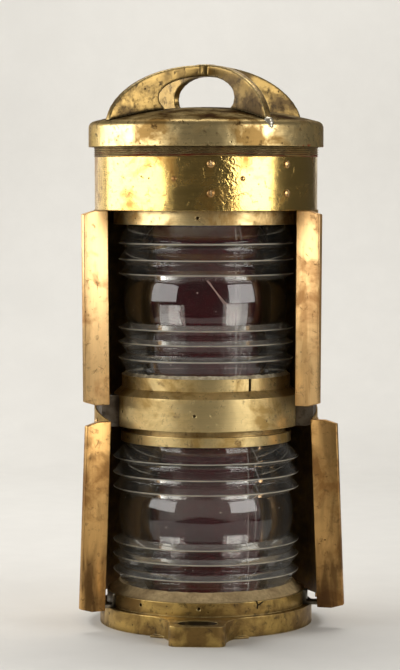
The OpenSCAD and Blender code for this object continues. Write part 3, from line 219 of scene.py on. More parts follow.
# Sheet brass of the collar: the best kept polish, wavy from hammering, with a rough patch front right.
collar_brass, at, shader = aged(
    "polished_sheet_collar", clean="#e2bf70", tarnish="#a87f3e", stain="#5c3f1b", edge="#f5e0a4", rough=0.14,
    metal=(0.97, 0.88), patina=0.43, spotting=0.5, grain_mm=(33, 33, 1.4), dent_mm=0.40, pits=0.12,
    edge_mm=0.8)
m = collar_brass
x, y = add(m, "SeparateXYZ", {0: at}).node.outputs[:2]
patch = add(m, "MapRange", {0: x, 1: 8 * mm, 2: 20 * mm})
for place, near, far in ((x, 30 * mm, 44 * mm), (y, -40 * mm, -20 * mm)):
    bound = add(m, "MapRange", {0: place, 1: near, 2: far, 3: 1.0, 4: 0.0})
    patch = add(m, "Math", {0: patch, 1: bound}, operation="MULTIPLY")
crumple = add(m, "TexNoise", {"Vector": at, "Scale": 1000 / 5, "Detail": 2.0, "Distortion": 1.0})
crumple = add(m, "Math", {0: crumple, 1: patch}, operation="MULTIPLY")
smooth = shader.inputs["Normal"].links[0].from_socket
dinted = add(m, "Bump", {"Strength": 1.0, "Distance": 0.8 * mm, "Height": crumple, "Normal": smooth})
m.node_tree.links.new(dinted, shader.inputs["Normal"])

# Threaded neck: darker brass than the rest, with painted shade in the thread roots and red lead paint left in
# its lowest turns.
neck_brass, at, shader = aged(
    "threaded_brass_neck", clean="#b09153", tarnish="#6b542c", stain="#22160a", edge="#f0d69c", rough=0.28,
    metal=(0.85, 0.60), patina=0.70, spotting=0.6, grain_mm=(38, 38, 1.1), dent_mm=0.08, pits=0.05,
    edge_mm=0.55, corner_mm=2.2)
m = neck_brass
z = add(m, "SeparateXYZ", {0: at}, out="Z")
smear = add(m, "VectorMath", {0: at, 1: (33 * mm, 33 * mm, 1.1 * mm)}, operation="DIVIDE")
smear = add(m, "TexNoise", {"Vector": smear, "Scale": 1.0, "Detail": 4.0})
smear = add(m, "MapRange", {0: smear, 1: 0.53, 2: 0.60})
low = add(m, "MapRange", {0: z, 1: (neck_z + 2.5) * mm, 2: (neck_z + 5.5) * mm, 3: 0.85, 4: 0.12})
red = add(m, "Math", {0: smear, 1: low}, operation="MULTIPLY")
lay(m, shader, "Base Color", red, colour("#7d2a18"))
lay(m, shader, "Roughness", red, 0.6)

# Spun brass of the cap: a rubbed rim with knocks and small pits, red lead along the lower edge, and a dome
# painted dark brown, partly tarnish and partly painted shade; the dark specular tint dims its reflections
# as painted shade too.
cap_brass, at, shader = aged(
    "spun_brass_cap", clean="#e8cd92", tarnish="#957644", stain="#402a12", edge="#f2d999", rough=0.24,
    metal=(0.88, 0.64), patina=0.50, spotting=0.9, grain_mm=(22, 22, 1.9), dent_mm=1.25, pits=0.30,
    edge_mm=1.2, Specular_Tint=colour("#3d2e1d"))
m = cap_brass
z = add(m, "SeparateXYZ", {0: at}, out="Z")
mottle = add(m, "TexNoise", {"Vector": at, "Scale": 1000 / 30, "Detail": 5.0, "Roughness": 0.65})
mottle = add(m, "MapRange", {0: mottle, 1: 0.30, 2: 0.58, 3: 0.55, 4: 1.0})
# the dome darkens above the rim: tarnish, and painted shade that dims its reflections
high = add(m, "MapRange", {0: z, 1: (cap_edge_z + 2) * mm, 2: (cap_edge_z + 8) * mm, 4: 0.97})
brown = add(m, "Math", {0: high, 1: mottle}, operation="MULTIPLY")
lay(m, shader, "Base Color", brown, colour("#311f0d"))
lay(m, shader, "Roughness", brown, 0.60)
lay(m, shader, "Metallic", brown, 0.9)
lead = add(m, "TexNoise", {"Vector": at, "Scale": 1000 / 16, "Detail": 4.0})
lead = add(m, "MapRange", {0: lead, 1: 0.62, 2: 0.68})
low = add(m, "MapRange", {0: z, 1: (cap_z + 1.2) * mm, 2: (cap_z + 2.7) * mm, 3: 0.9, 4: 0.0})
lead = add(m, "Math", {0: lead, 1: low}, operation="MULTIPLY")
lay(m, shader, "Base Color", lead, colour("#9a3019"))
lay(m, shader, "Roughness", lead, 0.6)

# Cast brass of the handle: rubbed by hands on top, grainy and dirty low down on the webs, with a painted
# highlight along its ridges.
handle_brass, at, shader = aged(
    "cast_brass_handle", clean="#a1854e", tarnish="#67512d", stain="#302210", edge="#e0cc94", rough=0.28,
    metal=(0.88, 0.66), patina=0.62, spotting=0.7, grain_mm=(14, 14, 14), dent_mm=0.60, pits=0.22,
    edge_mm=1.0)
m = handle_brass
z = add(m, "SeparateXYZ", {0: at}, out="Z")
soot = add(m, "TexNoise", {"Vector": at, "Scale": 1000 / 7, "Detail": 6.0, "Roughness": 0.7})
soot = add(m, "MapRange", {0: soot, 1: 0.50, 2: 0.66})
low = add(m, "MapRange", {0: z, 1: handle_low_z * mm, 2: handle_high_z * mm, 3: 0.85, 4: 0.1})
soot = add(m, "Math", {0: soot, 1: low}, operation="MULTIPLY")
lay(m, shader, "Base Color", soot, colour("#3a2813"))
lay(m, shader, "Roughness", soot, 0.62)
# painted highlight: a pale, smoother colour along the sharp ridges of the casting
ridge_highlight = add(m, "NewGeometry", out="Pointiness")
ridge_highlight = add(m, "MapRange", {0: ridge_highlight, 1: 0.52, 2: 0.58, 4: 0.85})
lay(m, shader, "Base Color", ridge_highlight, colour("#e8d79c"))
lay(m, shader, "Roughness", ridge_highlight, 0.2)

# Sheet brass of the screens: dull and brown outside, smoked brown inside.
screen_brass, at, shader = aged(
    "sheet_brass_screens", clean="#ba9751", tarnish="#a78345", stain="#6a4e28", edge="#e0bf78", rough=0.32,
    metal=(0.88, 0.74), patina=0.70, spotting=0.45, grain_mm=(25, 25, 6), dent_mm=0.40, pits=0.10,
    edge_mm=0.5)
m = screen_brass
facing = add(m, "NewGeometry", out="Normal")
out = add(m, "VectorMath", {0: at, 1: (1.0, 1.0, 0.0)}, operation="MULTIPLY")
inward = add(m, "VectorMath", {0: facing, 1: out}, out="Value", operation="DOT_PRODUCT")
inward = add(m, "MapRange", {0: inward, 1: -0.06, 2: -0.05, 3: 1.0, 4: 0.0})
chips = add(m, "TexNoise", {"Vector": at, "Scale": 1000 / 12, "Detail": 6.0, "Roughness": 0.7})
chips = add(m, "MapRange", {0: chips, 1: 0.40, 2: 0.70, 3: 1.0, 4: 0.55})
smoked = add(m, "Math", {0: inward, 1: chips}, operation="MULTIPLY")
lay(m, shader, "Base Color", smoked, colour("#5f4526"))
lay(m, shader, "Roughness", smoked, 0.5)
lay(m, shader, "Metallic", smoked, 0.5)

# Drawn bronze of the edge strips: redder than the castings, with long marks and dark handling smudges up and
# down. The upper pair is the paler copy; the lower pair is darker and browner and darkens further towards
# its bottom: painted light and shade.
strips = []
for name, clean, tarnish, stain, patina, smudge, bottom_shade_share in (
    ("drawn_bronze_upper_strips", "#e2ba80", "#b78853", "#74502a", 0.45, "#94672f", 0.0),
    ("drawn_bronze_lower_strips", "#c79c5f", "#8f6633", "#4a2f14", 0.58, "#63401c", 0.7),
):
    m, at, shader = aged(
        name, clean=clean, tarnish=tarnish, stain=stain, edge="#d59b66", rough=0.30, metal=(0.92, 0.72),
        patina=patina, spotting=0.4, grain_mm=(2.4, 2.4, 83), dent_mm=0.22, pits=0.05, edge_mm=0.9)
    z = add(m, "SeparateXYZ", {0: at}, out="Z")
    long = add(m, "VectorMath", {0: at, 1: (13 * mm, 13 * mm, 60 * mm)}, operation="DIVIDE")
    long = add(m, "TexNoise", {"Vector": long, "Scale": 1.0, "Detail": 4.0, "Distortion": 0.6})
    streak = add(m, "MapRange", {0: long, 1: 0.55, 2: 0.72, 4: 0.45})
    lay(m, shader, "Base Color", streak, colour(smudge))
    # painted shade: the lower pair darkens towards its bottom
    bottom_shade = add(m, "MapRange", {0: long, 1: 0.40, 2: 0.60, 4: bottom_shade_share})
    low = add(m, "MapRange", {0: z, 1: 60 * mm, 2: 150 * mm, 3: 1.0, 4: 0.0})
    bottom_shade = add(m, "Math", {0: bottom_shade, 1: low}, operation="MULTIPLY")
    lay(m, shader, "Base Color", bottom_shade, colour("#3c2410"))
    lay(m, shader, "Roughness", bottom_shade, 0.5)
    strips.append(m)
upper_strip_bronze, lower_strip_bronze = strips

# Tinned brass of the clips: grey tin worn through to brown metal.
clip_tin = aged(
    "tinned_brass_clips", clean="#6f665a", tarnish="#4a3d2e", stain="#2a2018", edge="#8d7c63", rough=0.40,
    metal=(0.85, 0.60), patina=0.60, spotting=0.6, grain_mm=(8, 8, 8), dent_mm=0.35, pits=0.18,
    edge_mm=0.6)[0]

# Dull tin of the foot brackets: pale grey, uneven, brown where the tin is thin.
bracket_tin = aged(
    "dull_tin_brackets", clean="#9d9686", tarnish="#746b59", stain="#3a3022", edge="#c4bdac", rough=0.32,
    metal=(0.88, 0.66), patina=0.50, spotting=0.5, grain_mm=(8, 8, 8), dent_mm=0.35, pits=0.12,
    edge_mm=0.6)[0]

# Bronze of the screws and rivets: copper-red heads whose wide eased rims carry a painted glint in the pale
# edge colour, and painted shade in the slots.
screw_bronze = aged(
    "screw_bronze", clean="#dfb274", tarnish="#a0743e", stain="#24160a", edge="#f6dfae", rough=0.22,
    metal=(0.92, 0.78), patina=0.50, spotting=0.5, grain_mm=(3.3, 3.3, 3.3), dent_mm=0.06, pits=0.04,
    edge_mm=1.4, corner_mm=2.0)[0]

# Brass of the parts inside: never polished, so an even brownish yellow with turning marks.
inner_brass = aged(
    "inner_brass", clean="#c9a862", tarnish="#93733c", stain="#4d3718", edge="#e0c080", rough=0.33,
    metal=(0.90, 0.70), patina=0.62, spotting=0.6, grain_mm=(17, 17, 2), dent_mm=0.12, pits=0.08,
    edge_mm=0.5)[0]

# Soft solder run into the handle's foot: grey-white, lumpy.
solder = aged(
    "soft_solder", clean="#d8d0bd", tarnish="#a89a7c", stain="#5c4a2f", edge="#efe9da", rough=0.30,
    metal=(0.90, 0.72), patina=0.45, spotting=0.5, grain_mm=(11, 11, 11), dent_mm=0.5, pits=0.10,
    edge_mm=0.5)[0]


def lens_glass(name, seam_degrees, tip, mid_z, belt_haze):
    """Pressed lens glass: clear at the belt, a film over the prisms that shows on the slant, dust on every
    ledge whose yellow-brown is partly a painted reflection of the brass, bruised along the prism tips under a
    pale painted highlight line, with a mould seam up the front right of each lens."""
    m, at = start(name)
    x, y, z = add(m, "SeparateXYZ", {0: at}).node.outputs
    film = add(m, "TexNoise", {"Vector": at, "Scale": 1000 / 14, "Detail": 6.0, "Roughness": 0.68})
    cloudy = add(m, "MapRange", {0: film, 1: 0.35, 2: 0.70, 3: 0.75, 4: 1.3})
    height = add(m, "Math", {0: z, 1: mid_z * mm}, operation="SUBTRACT")
    upward = add(m, "SeparateXYZ", {0: add(m, "NewGeometry", out="Normal")}, out="Z")
    upward = add(m, "MapRange", {0: upward, 1: 0.30, 2: 0.70})
    belt_end, prism_start = belt_half * mm, (belt_half + 4) * mm
    # dust on upward ledges, its yellow-brown partly a painted reflection of the brass
    ledge_dust_and_reflection = add(m, "MapRange", {0: height, 1: -prism_start, 2: belt_end, 3: 0.10, 4: 0.02})
    ledge_dust_and_reflection = add(m, "Math", {0: ledge_dust_and_reflection, 1: upward}, operation="MULTIPLY")
    out = add(m, "VectorMath", {0: at, 1: (1.0, 1.0, 0.0)}, operation="MULTIPLY")
    out = add(m, "VectorMath", {0: out}, out="Value", operation="LENGTH")
    # a pale painted highlight line along the prism tips, with bruising
    at_tip = add(m, "MapRange", {0: out, 1: (tip - 0.55) * mm, 2: (tip - 0.15) * mm})
    tip_bruise_and_highlight = add(m, "MapRange", {0: film, 1: 0.36, 2: 0.64, 3: 0.35, 4: 0.65})
    tip_bruise_and_highlight = add(m, "Math", {0: at_tip, 1: tip_bruise_and_highlight}, operation="MULTIPLY")
    level = add(m, "Math", {0: height}, operation="ABSOLUTE")
    haze = add(m, "MapRange", {0: level, 1: belt_end, 2: prism_start, 3: belt_haze, 4: 0.005})
    slant = add(m, "LayerWeight", {"Blend": 0.5}, out="Facing")
    slant = add(m, "MapRange", {0: slant, 1: 0.45, 2: 0.95, 4: 0.14})
    prisms = add(m, "MapRange", {0: level, 1: belt_end, 2: prism_start, 3: 0.3, 4: 1.0})
    haze = add(m, "Math", {0: slant, 1: prisms, 2: haze}, operation="MULTIPLY_ADD")
    specks = add(m, "TexVoronoi", {"Vector": at, "Scale": 1000 / 13})
    specks = add(m, "MapRange", {0: specks, 1: 0.03, 2: 0.05, 3: 0.6, 4: 0.0})
    seam = add(m, "Math", {0: around(m, x, y, tip, seam_degrees)}, operation="ABSOLUTE")
    seam = add(m, "MapRange", {0: seam, 1: 0.3 * mm, 2: 0.9 * mm, 3: 0.20, 4: 0.0})
    dirt = add(m, "Math", {0: ledge_dust_and_reflection, 1: haze}, operation="MAXIMUM")
    dirt = add(m, "Math", {0: dirt, 1: cloudy}, operation="MULTIPLY")
    for more in (tip_bruise_and_highlight, specks, seam):
        dirt = add(m, "Math", {0: dirt, 1: more}, operation="MAXIMUM")
    base = add(m, "Mix", {0: dirt, 6: colour("#f1f1ec"), 7: colour("#a68d5f")}, out=2, data_type="RGBA")
    base = add(m, "Mix", {0: tip_bruise_and_highlight, 6: base, 7: colour("#d6ccb4")}, out=2, data_type="RGBA")
    coarse = add(m, "MapRange", {0: dirt, 1: 0.03, 2: 0.6, 3: 0.05, 4: 0.45})
    clear = add(m, "Math", {0: 1.0, 1: dirt}, operation="SUBTRACT")
    swell = add(m, "TexNoise", {"Vector": at, "Scale": 1000 / 32, "Detail": 2.0})
    swell = add(m, "Math", {0: seam, 1: 1.5, 2: swell}, operation="MULTIPLY_ADD")
    normal = add(m, "Bump", {"Strength": 1.0, "Distance": 0.2 * mm, "Height": swell})
    shader = close(
        m, Base_Color=base, Roughness=coarse, Normal=normal, IOR=1.6, Transmission_Weight=clear,
        Sheen_Weight=0.12, Sheen_Roughness=0.30, Sheen_Tint=colour("#b39b74"))
    return m, x, y, z, shader


lower_glass = lens_glass("pressed_glass_lower", 37.5, lower_tip, lower_mid_z + lower_lift, 0.008)[0]
upper_glass, x, y, z, shader = lens_glass(
    "pressed_glass_upper", 27.5, upper_tip, upper_mid_z + upper_lift, 0.001)
# the long scratch across the upper lens's belt
along = around(upper_glass, x, y, upper_tip - belt_inset, 0)
scratch = stroke(upper_glass, along, z, (6.0, 343.4), (25.2, 320.3), 0.9)
lay(upper_glass, shader, "Base Color", scratch, colour("#c9a59a"))
scratch = add(upper_glass, "Math", {0: scratch, 1: 0.6}, operation="MULTIPLY")
lay(upper_glass, shader, "Transmission Weight", scratch, 0.0)

# Ruby glass of the filters: deep red all through, smooth, with patches of soot.
ruby, at = start("ruby_glass")
soot = add(ruby, "TexNoise", {"Vector": at, "Scale": 1000 / 22, "Detail": 5.0})
soot = add(ruby, "MapRange", {0: soot, 1: 0.45, 2: 0.75, 4: 0.55})
tint = add(ruby, "Mix", {0: soot, 6: colour("#6e0c1d"), 7: colour("#2a050d")}, out=2, data_type="RGBA")
close(
    ruby, IOR=1.51, Transmission_Weight=0.82, Base_Color=tint,
    Roughness=add(ruby, "MapRange", {0: soot, 2: 0.55, 3: 0.04, 4: 0.22}),
    Normal=add(ruby, "Bump", {"Strength": 0.4, "Distance": 0.2 * mm, "Height": soot}))

# Thin blown glass of the bulbs: clear, faintly smoked.
bulb_glass, at = start("bulb_glass")
smoke = add(bulb_glass, "TexNoise", {"Vector": at, "Scale": 1000 / 18, "Detail": 3.0})
smoke = add(bulb_glass, "MapRange", {0: smoke, 1: 0.4, 2: 0.8})
tint = add(bulb_glass, "Mix", {0: smoke, 6: colour("#f1f1ec"), 7: colour("#a9a296")}, out=2, data_type="RGBA")
close(
    bulb_glass, IOR=1.47, Transmission_Weight=0.97, Base_Color=tint,
    Roughness=add(bulb_glass, "MapRange", {0: smoke, 3: 0.01, 4: 0.06}),
    Normal=add(bulb_glass, "Bump", {"Strength": 0.3, "Distance": 0.1 * mm, "Height": smoke}))


def plain(name, dark, light, stain, size_mm, rough, lump_mm, **sockets):
    """A stuff of two close colours in grains of a size, with stains six times as wide."""
    m, at = start(name)
    grain = add(m, "TexNoise", {"Vector": at, "Scale": 1000 / size_mm, "Detail": 6.0, "Roughness": 0.65})
    mixed = add(m, "MapRange", {0: grain, 1: 0.35, 2: 0.65})
    wide = add(m, "TexNoise", {"Vector": at, "Scale": 1000 / (6 * size_mm), "Detail": 4.0})
    wide = add(m, "MapRange", {0: wide, 1: 0.50, 2: 0.72, 4: 0.7})
    base = add(m, "Mix", {0: mixed, 6: colour(dark), 7: colour(light)}, out=2, data_type="RGBA")
    base = add(m, "Mix", {0: wide, 6: base, 7: colour(stain)}, out=2, data_type="RGBA")
    coarse = add(m, "MapRange", {0: grain, 1: 0.3, 2: 0.7, 3: rough - 0.06, 4: rough + 0.08})
    normal = add(m, "Bump", {"Strength": 0.8, "Distance": lump_mm * mm, "Height": grain})
    close(m, Base_Color=base, Roughness=coarse, Normal=normal, **sockets)
    return m


# Vulcanised rubber of the seals: black, chalky with age.
seal_rubber = plain("aged_seal_rubber", "#1b1917", "#2b2825", "#3a352e", 4, 0.75, 0.2)
# Rubber sheath of the leads: dull black, smoother than the seals.
lead_rubber = plain("lead_sheath_rubber", "#1d1b19", "#292523", "#0f0e0d", 3, 0.62, 0.12)
# Glazed porcelain of the lamp holders: cream under a clear glaze, fine grey crazing dirt.
porcelain = plain("glazed_porcelain", "#d9d2c0", "#e4decf", "#b9ae97", 9, 0.20, 0.05, Coat_Weight=0.6)
# Moulded phenolic of the terminal board: brown-black, satin.
phenolic = plain("moulded_phenolic", "#2a1a12", "#38241a", "#1b110c", 3, 0.42, 0.08)
# Glazing putty: once white, now beige and crumbling, with brass polish and soot in it.
putty = plain("old_glazing_putty", "#8d7853", "#b39b70", "#6b5433", 3.5, 0.85, 1.1)
# The thin bead above has dried out: paler and more broken.
crumbs = plain("dry_glazing_putty", "#94866a", "#cfc4a8", "#6b5b3f", 2.5, 0.85, 1.0)
# Drawn tungsten of the filaments: dark grey, faintly shiny.
tungsten = plain("drawn_tungsten", "#4a4a4c", "#6a6a6c", "#38383a", 1, 0.40, 0.02, Specular_IOR_Level=0.8)

finishes = {
    foot_brass: ["foot_casting"],
    ring_brass: ["lower_clamp_ring", "middle_band", "upper_clamp_ring"],
    top_ring_lit_brass: ["upper_lens_ring"],
    collar_brass: ["collar"],
    neck_brass: ["threaded_neck"],
    cap_brass: ["cap", "gland_body", "gland_nut"],
    handle_brass: ["handle"],
    screen_brass: ["upper_screen", "lower_screen"],
    upper_strip_bronze: ["upper_left_strip", "upper_right_strip"],
    lower_strip_bronze: ["lower_left_strip", "lower_right_strip"],
    clip_tin: ["screen_clips"],
    bracket_tin: ["foot_brackets"],
    screw_bronze: [
        "clip_screws", "bracket_screws", "collar_screws", "collar_rivets", "ring_screws", "terminal_screws",
        "deck_screws", "pedestal_screws",
    ],
    inner_brass: [
        "backing_plate", "lamp_deck", "lower_filter_seat", "upper_filter_seat", "lower_pedestal",
        "upper_pedestal", "lower_lamp_cap", "upper_lamp_cap",
    ],
    lower_glass: ["lower_lens"],
    upper_glass: ["upper_lens"],
    ruby: ["lower_filter", "upper_filter"],
    bulb_glass: ["lower_bulb", "upper_bulb"],
    seal_rubber: [
        "lower_lens_bottom_seal", "lower_lens_top_seal", "upper_lens_bottom_seal", "upper_lens_top_seal",
        "cap_seal", "gland_seal",
    ],
    lead_rubber: ["upper_lead", "lower_lead"],
    porcelain: ["lower_lamp_holder", "upper_lamp_holder"],
    phenolic: ["terminal_board"],
    putty: ["lower_putty"],
    crumbs: ["upper_putty"],
}
for material, names in finishes.items():
    for name in names:
        nodes[name].data.materials.clear()
        nodes[name].data.materials.append(material)


def settle(piece, name, body, material, node=None):
    """Names a finished piece, gives it its finish, and hangs it on its body in the place of a node."""
    piece.name = piece.data.name = name
    piece.data.materials.clear()
    piece.data.materials.append(material)
    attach(piece, body)
    if node:
        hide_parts(node)
    return piece


def apply(piece, kind, **settings):
    """Adds a modifier to the active piece and applies it."""
    modifier = piece.modifiers.new(kind.lower(), kind)
    for key, value in settings.items():
        setattr(modifier, key, value)
    bpy.ops.object.modifier_apply(modifier=modifier.name)


def point():
    """Starts a piece as one selected vertex at the origin, in edit mode."""
    bpy.ops.object.select_all(action="DESELECT")
    bpy.ops.mesh.primitive_plane_add(size=0.01)
    bpy.ops.object.mode_set(mode="EDIT")
    bpy.ops.mesh.select_all(action="SELECT")
    bpy.ops.mesh.merge(type="CENTER")
    return bpy.context.object


def draw(places):
    """Draws a line from the selected vertex at the origin along places, in metres."""
    bpy.ops.transform.translate(value=places[0])
    for before, after in zip(places, places[1:]):
        move = [b - a for a, b in zip(before, after)]
        bpy.ops.mesh.extrude_region_move(TRANSFORM_OT_translate={"value": move})


def turned(profile, steps):
    """A closed profile of radius and height in mm, spun about the lantern's axis."""
    piece = point()
    draw([(r * mm, 0.0, z * mm) for r, z in [*profile, profile[0]]])
    bpy.ops.mesh.select_all(action="SELECT")
    bpy.ops.mesh.remove_doubles(threshold=1e-6)
    bpy.ops.mesh.spin(steps=steps, angle=2 * math.pi, center=(0, 0, 0), axis=(0, 0, 1))
    bpy.ops.mesh.select_all(action="SELECT")
    bpy.ops.mesh.remove_doubles(threshold=1e-6)
    bpy.ops.mesh.normals_make_consistent(inside=False)
    bpy.ops.object.mode_set(mode="OBJECT")
    return piece


def rounded(corners, parts=4):
    """A path of (radius, height, rounding) with each corner rounded by its own radius."""
    path = []
    for i, (r, z, ease) in enumerate(corners):
        if ease == 0 or i in (0, len(corners) - 1):
            path.append((r, z))
            continue
        ends = []
        for other in (corners[i - 1], corners[i + 1]):
            away = (other[0] - r, other[1] - z)
            far = math.hypot(*away)
            cut = min(ease, 0.45 * far)
            ends.append((r + away[0] / far * cut, z + away[1] / far * cut))
        for k in range(parts + 1):
            t = k / parts
            first, middle, last = (1 - t) ** 2, 2 * t * (1 - t), t * t
            path.append(tuple(
                first * a + middle * b + last * c for a, b, c in zip(ends[0], (r, z), ends[1])))
    return path


def lens(tip, mid_z, lift):
    """A belt lens whose prism edges and valleys are rounded as pressed glass is, and whose belt sits a little
    off the middle of its height."""
    chord, sag = 25, 4.5
    bulge = (chord ** 2 + sag ** 2) / (2 * sag)
    belt = tip - belt_inset
    foot = ((lens_foot_r, 74.5, 0.8), (lens_foot_r, 78.4, 0.5), (lens_foot_r - 0.6, 79, 0), (66, 79, 0))
    halves = []
    for side in (1, -1):
        half = [(belt - bulge + math.sqrt(bulge ** 2 - z * z), z, 0) for z in range(0, belt_half + 1, 2)]
        half.append((tip - 9.3, 21.7, 1.2))
        for peak, valley in ((26.7, 36.6), (40.9, 52.0)):
            half += [(tip, peak - 0.3, 0.5), (tip, peak + 0.3, 0.5), (tip - 7.6, valley, 1.5)]
        half += [(tip, 56.4, 0.5), (tip, 57.0, 0.5)]
        half += [(r, z - side * lift, ease) for r, z, ease in foot]
        halves.append([(r, mid_z + lift + side * z) for r, z in rounded(half)])
    upper, lower = halves
    piece = turned(lower[:0:-1] + upper, 180)
    bpy.ops.object.shade_smooth_by_angle(angle=math.radians(40))
    return piece


# glass throws no shadow here, so lamp light passes through to the screens behind it
for node, tip, mid_z, lift, glass in (
    ("lower_lens", lower_tip, lower_mid_z, lower_lift, lower_glass),
    ("upper_lens", upper_tip, upper_mid_z, upper_lift, upper_glass),
):
    clear = settle(lens(tip, mid_z, lift), node + "_glass", "lantern_body", glass, node)
    clear.visible_shadow = False


def shape_of(node):
    """A node's own shape as a new piece with its doubles merged."""
    piece = bpy.data.objects.new("copy_of_" + node, nodes[node].data.copy())
    scene.collection.objects.link(piece)
    bpy.ops.object.select_all(action="DESELECT")
    piece.select_set(True)
    bpy.context.view_layer.objects.active = piece
    bpy.ops.mesh.customdata_custom_splitnormals_clear()
    bpy.ops.object.mode_set(mode="EDIT")
    bpy.ops.mesh.select_all(action="SELECT")
    bpy.ops.mesh.remove_doubles(threshold=2e-6)
    bpy.ops.mesh.tris_convert_to_quads()
    bpy.ops.mesh.dissolve_limited(angle_limit=math.radians(0.5))
    bpy.ops.object.mode_set(mode="OBJECT")
    return piece


# the handle, with the soft edges and filled corners of a casting
grip = shape_of("handle")
apply(grip, "REMESH", mode="VOXEL", voxel_size=1.1 * mm, adaptivity=0.0)
apply(grip, "SMOOTH", factor=0.5, iterations=9)
bpy.ops.object.shade_smooth()
settle(grip, "handle_casting", "screw_cap", handle_brass, "handle")

# the strips, with edges rubbed round
for level, bronze in (("upper", upper_strip_bronze), ("lower", lower_strip_bronze)):
    for node in (level + "_left_strip", level + "_right_strip"):
        strip = shape_of(node)
        apply(strip, "BEVEL", width=0.9 * mm, segments=3, limit_method="ANGLE", angle_limit=math.radians(20))
        bpy.ops.object.shade_smooth_by_angle(angle=math.radians(40))
        settle(strip, node + "_worn", "lantern_body", bronze, node)


def bead(outer, inner, low_z, high_z, lumps_mm):
    """Putty laid around a lens's foot, uneven where a knife left it."""
    steps = (0.0, 0.12, 0.3, 0.5, 0.7, 0.9, 1.0)
    face = [(outer + (inner - outer) * t, low_z + (high_z - low_z) * t) for t in steps]
    piece = turned([(lens_foot_r, low_z), *face], 300)
    group = piece.vertex_groups.new(name="face")
    near = [v.index for v in piece.data.vertices
            if (low_z + 0.2) * mm < v.co.z and math.hypot(v.co.x, v.co.y) > (inner - 0.05) * mm]
    group.add(near, 1.0, "REPLACE")
    lumps = bpy.data.textures.new("putty_lumps", "CLOUDS")
    lumps.noise_scale = 5 * mm
    lumps.noise_depth = 3
    apply(
        piece, "DISPLACE", texture=lumps, texture_coords="LOCAL", strength=lumps_mm * mm, mid_level=0.5,
        vertex_group="face")
    bpy.ops.object.shade_smooth_by_angle(angle=math.radians(60))
    return piece


for node, stuff, outer, inner, low_z, rise, lumps_mm in (
    ("lower_putty", putty, 96.0, 86.7, foot_top_z, 8.5, 1.6),
    ("upper_putty", crumbs, 82.5, 79.9, upper_seat_z, 3.0, 2.6),
):
    laid = bead(outer, inner, low_z, low_z + rise, lumps_mm)
    settle(laid, node + "_bead", "lantern_body", stuff, node)

# the solder run into the foot of the handle's front right leg
bpy.ops.object.select_all(action="DESELECT")
leg, leg_r, leg_z = math.radians(305.5), 112.5 * mm, 494.5 * mm
bpy.ops.mesh.primitive_ico_sphere_add(subdivisions=4, radius=5 * mm)
blob = bpy.context.object
bpy.ops.object.mode_set(mode="EDIT")
bpy.ops.mesh.select_all(action="SELECT")
bpy.ops.transform.resize(value=(1.1, 1.0, 1.25))
bpy.ops.transform.translate(value=(leg_r * math.cos(leg), leg_r * math.sin(leg), leg_z))
bpy.ops.object.mode_set(mode="OBJECT")
run = bpy.data.textures.new("solder_run", "CLOUDS")
run.noise_scale = 4 * mm
apply(blob, "DISPLACE", texture=run, texture_coords="LOCAL", strength=2.5 * mm, mid_level=0.5)
bpy.ops.object.shade_smooth()
settle(blob, "handle_solder", "screw_cap", solder)


def wire(places, thick_mm):
    """A wire along places in mm."""
    point()
    draw([tuple(c * mm for c in place) for place in places])
    bpy.ops.object.mode_set(mode="OBJECT")
    bpy.ops.object.convert(target="CURVE")
    piece = bpy.context.object
    piece.data.bevel_depth = thick_mm / 2 * mm
    piece.data.bevel_resolution = 2
    piece.data.use_fill_caps = True
    bpy.ops.object.convert(target="MESH")
    bpy.ops.object.shade_smooth()
    return bpy.context.object


# in each bulb, a zigzag filament between two lead-in wires
for lamp, focus in (("lower", lower_mid_z), ("upper", upper_mid_z)):
    rise = [(-7.0, 0.0, focus - 28.5), (-7.0, 0.0, focus - 8.0), (-9.0, 0.0, focus)]
    zigzag = [(-9.0 + 2.0 * i, 0.0, focus + (5.0 if i % 2 else -3.0)) for i in range(1, 9)]
    fall = [(9.0, 0.0, focus), (7.0, 0.0, focus - 8.0), (7.0, 0.0, focus - 28.5)]
    settle(wire(rise + zigzag + fall, 0.5), lamp + "_filament", "lantern_body", tungsten)


# the studio, in metres: a pale paper sweep, large soft boxes, a dim room
bpy.ops.object.select_all(action="DESELECT")
bpy.ops.mesh.primitive_plane_add(size=1.0)
sweep = bpy.context.object
sweep.name = "paper_sweep"
paper_w, floor_front, floor_back, curve_r, wall_h = 1.6, -0.7, 1.2, 0.5, 1.6
bpy.ops.object.mode_set(mode="EDIT")
bpy.ops.mesh.select_all(action="SELECT")
bpy.ops.transform.resize(value=(paper_w, floor_back - floor_front, 1.0))
bpy.ops.transform.translate(value=(0.0, (floor_back + floor_front) / 2, 0.0))
bpy.ops.mesh.select_all(action="DESELECT")
bpy.ops.object.mode_set(mode="OBJECT")
for edge in sweep.data.edges:
    edge.select = all(sweep.data.vertices[i].co.y > 0 for i in edge.vertices)
bpy.ops.object.mode_set(mode="EDIT")
bpy.ops.mesh.select_mode(type="EDGE")
bpy.ops.mesh.spin(steps=24, angle=-math.pi / 2, center=(0.0, floor_back, curve_r), axis=(1.0, 0.0, 0.0))
bpy.ops.mesh.extrude_region_move(TRANSFORM_OT_translate={"value": (0.0, 0.0, wall_h)})
bpy.ops.mesh.select_all(action="SELECT")
bpy.ops.mesh.normals_make_consistent(inside=True)
bpy.ops.object.mode_set(mode="OBJECT")
bpy.ops.object.shade_smooth()
# Pale paper: even and matt. It has one side, so the lantern can be looked at from behind the sweep.
paper = plain("pale_paper", "#dcdad5", "#dfddd8", "#d8d6d1", 40, 0.9, 0.05)
end = paper.node_tree.nodes["Material Output"].inputs["Surface"]
behind = add(paper, "NewGeometry", out="Backfacing")
sheet = {0: behind, 1: end.links[0].from_socket, 2: add(paper, "BsdfTransparent")}
paper.node_tree.links.new(add(paper, "MixShader", sheet), end)
sweep.data.materials.append(paper)


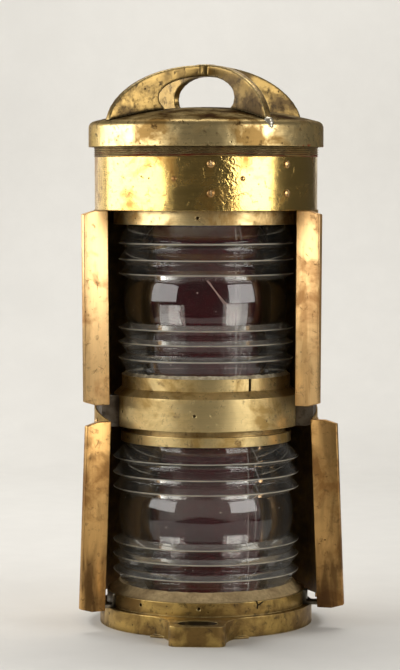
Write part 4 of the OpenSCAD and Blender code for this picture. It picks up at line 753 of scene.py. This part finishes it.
# where the photograph was taken from, in metres and in degrees right of the front
view_bearing, view_distance, view_z = 3.5, 2.466, 0.4416
view_down, view_turn = 3.607, 3.639
warm_white = (1.0, 0.985, 0.96)


def soft_box(name, bearing, distance, z, aim, width, height, watts):
    """An area lamp at a bearing from the front in degrees, aimed at a place."""
    lamp = bpy.data.lights.new(name, "AREA")
    lamp.shape = "RECTANGLE"
    lamp.size, lamp.size_y, lamp.energy = width, height, watts
    lamp.color = warm_white
    holder = bpy.data.objects.new(name, lamp)
    scene.collection.objects.link(holder)
    holder.visible_camera = False
    turn = math.radians(bearing)
    place = (distance * math.sin(turn), -distance * math.cos(turn), z)
    holder.location = place
    away = [a - p for a, p in zip(aim, place)]
    holder.rotation_euler = (
        math.atan2(math.hypot(away[0], away[1]), -away[2]), 0.0, math.atan2(away[1], away[0]) - math.pi / 2)


soft_box("left_soft_box", view_bearing - 80, 1.4, 0.66, (0.0, 0.0, 0.55), 2.3, 0.72, 24.0)
soft_box("right_soft_box", view_bearing + 51, 1.6, 0.67, (0.0, 0.0, 0.55), 1.1, 0.82, 15.0)
soft_box("left_back_soft_box", view_bearing - 140, 1.5, 0.60, (0.0, 0.0, 0.45), 0.83, 0.9, 2.4)
soft_box("top_soft_box", view_bearing + 180, 0.45, 1.9, (0.0, 0.0, 0.3), 1.2, 0.6, 7.0)
soft_box("paper_light", 180.0, 0.45, 2.1, (0.0, 1.75, 0.5), 1.4, 0.5, 24.0)
room = bpy.data.worlds.new("dim_room")
room.use_nodes = True
room.node_tree.nodes["Background"].inputs["Color"].default_value = colour("#8d8b88")
room.node_tree.nodes["Background"].inputs["Strength"].default_value = 0.22
scene.world = room
scene.view_settings.view_transform = "Standard"

eye = bpy.data.cameras.new("photo_camera")
eye.sensor_fit = "VERTICAL"
eye.sensor_height = 36.0
eye.lens = 133.11
camera = bpy.data.objects.new("photo_camera", eye)
scene.collection.objects.link(camera)
turn = math.radians(view_bearing)
camera.location = (view_distance * math.sin(turn), -view_distance * math.cos(turn), view_z)
camera.rotation_euler = (math.radians(90 - view_down), 0.0, math.radians(view_turn))
scene.camera = camera
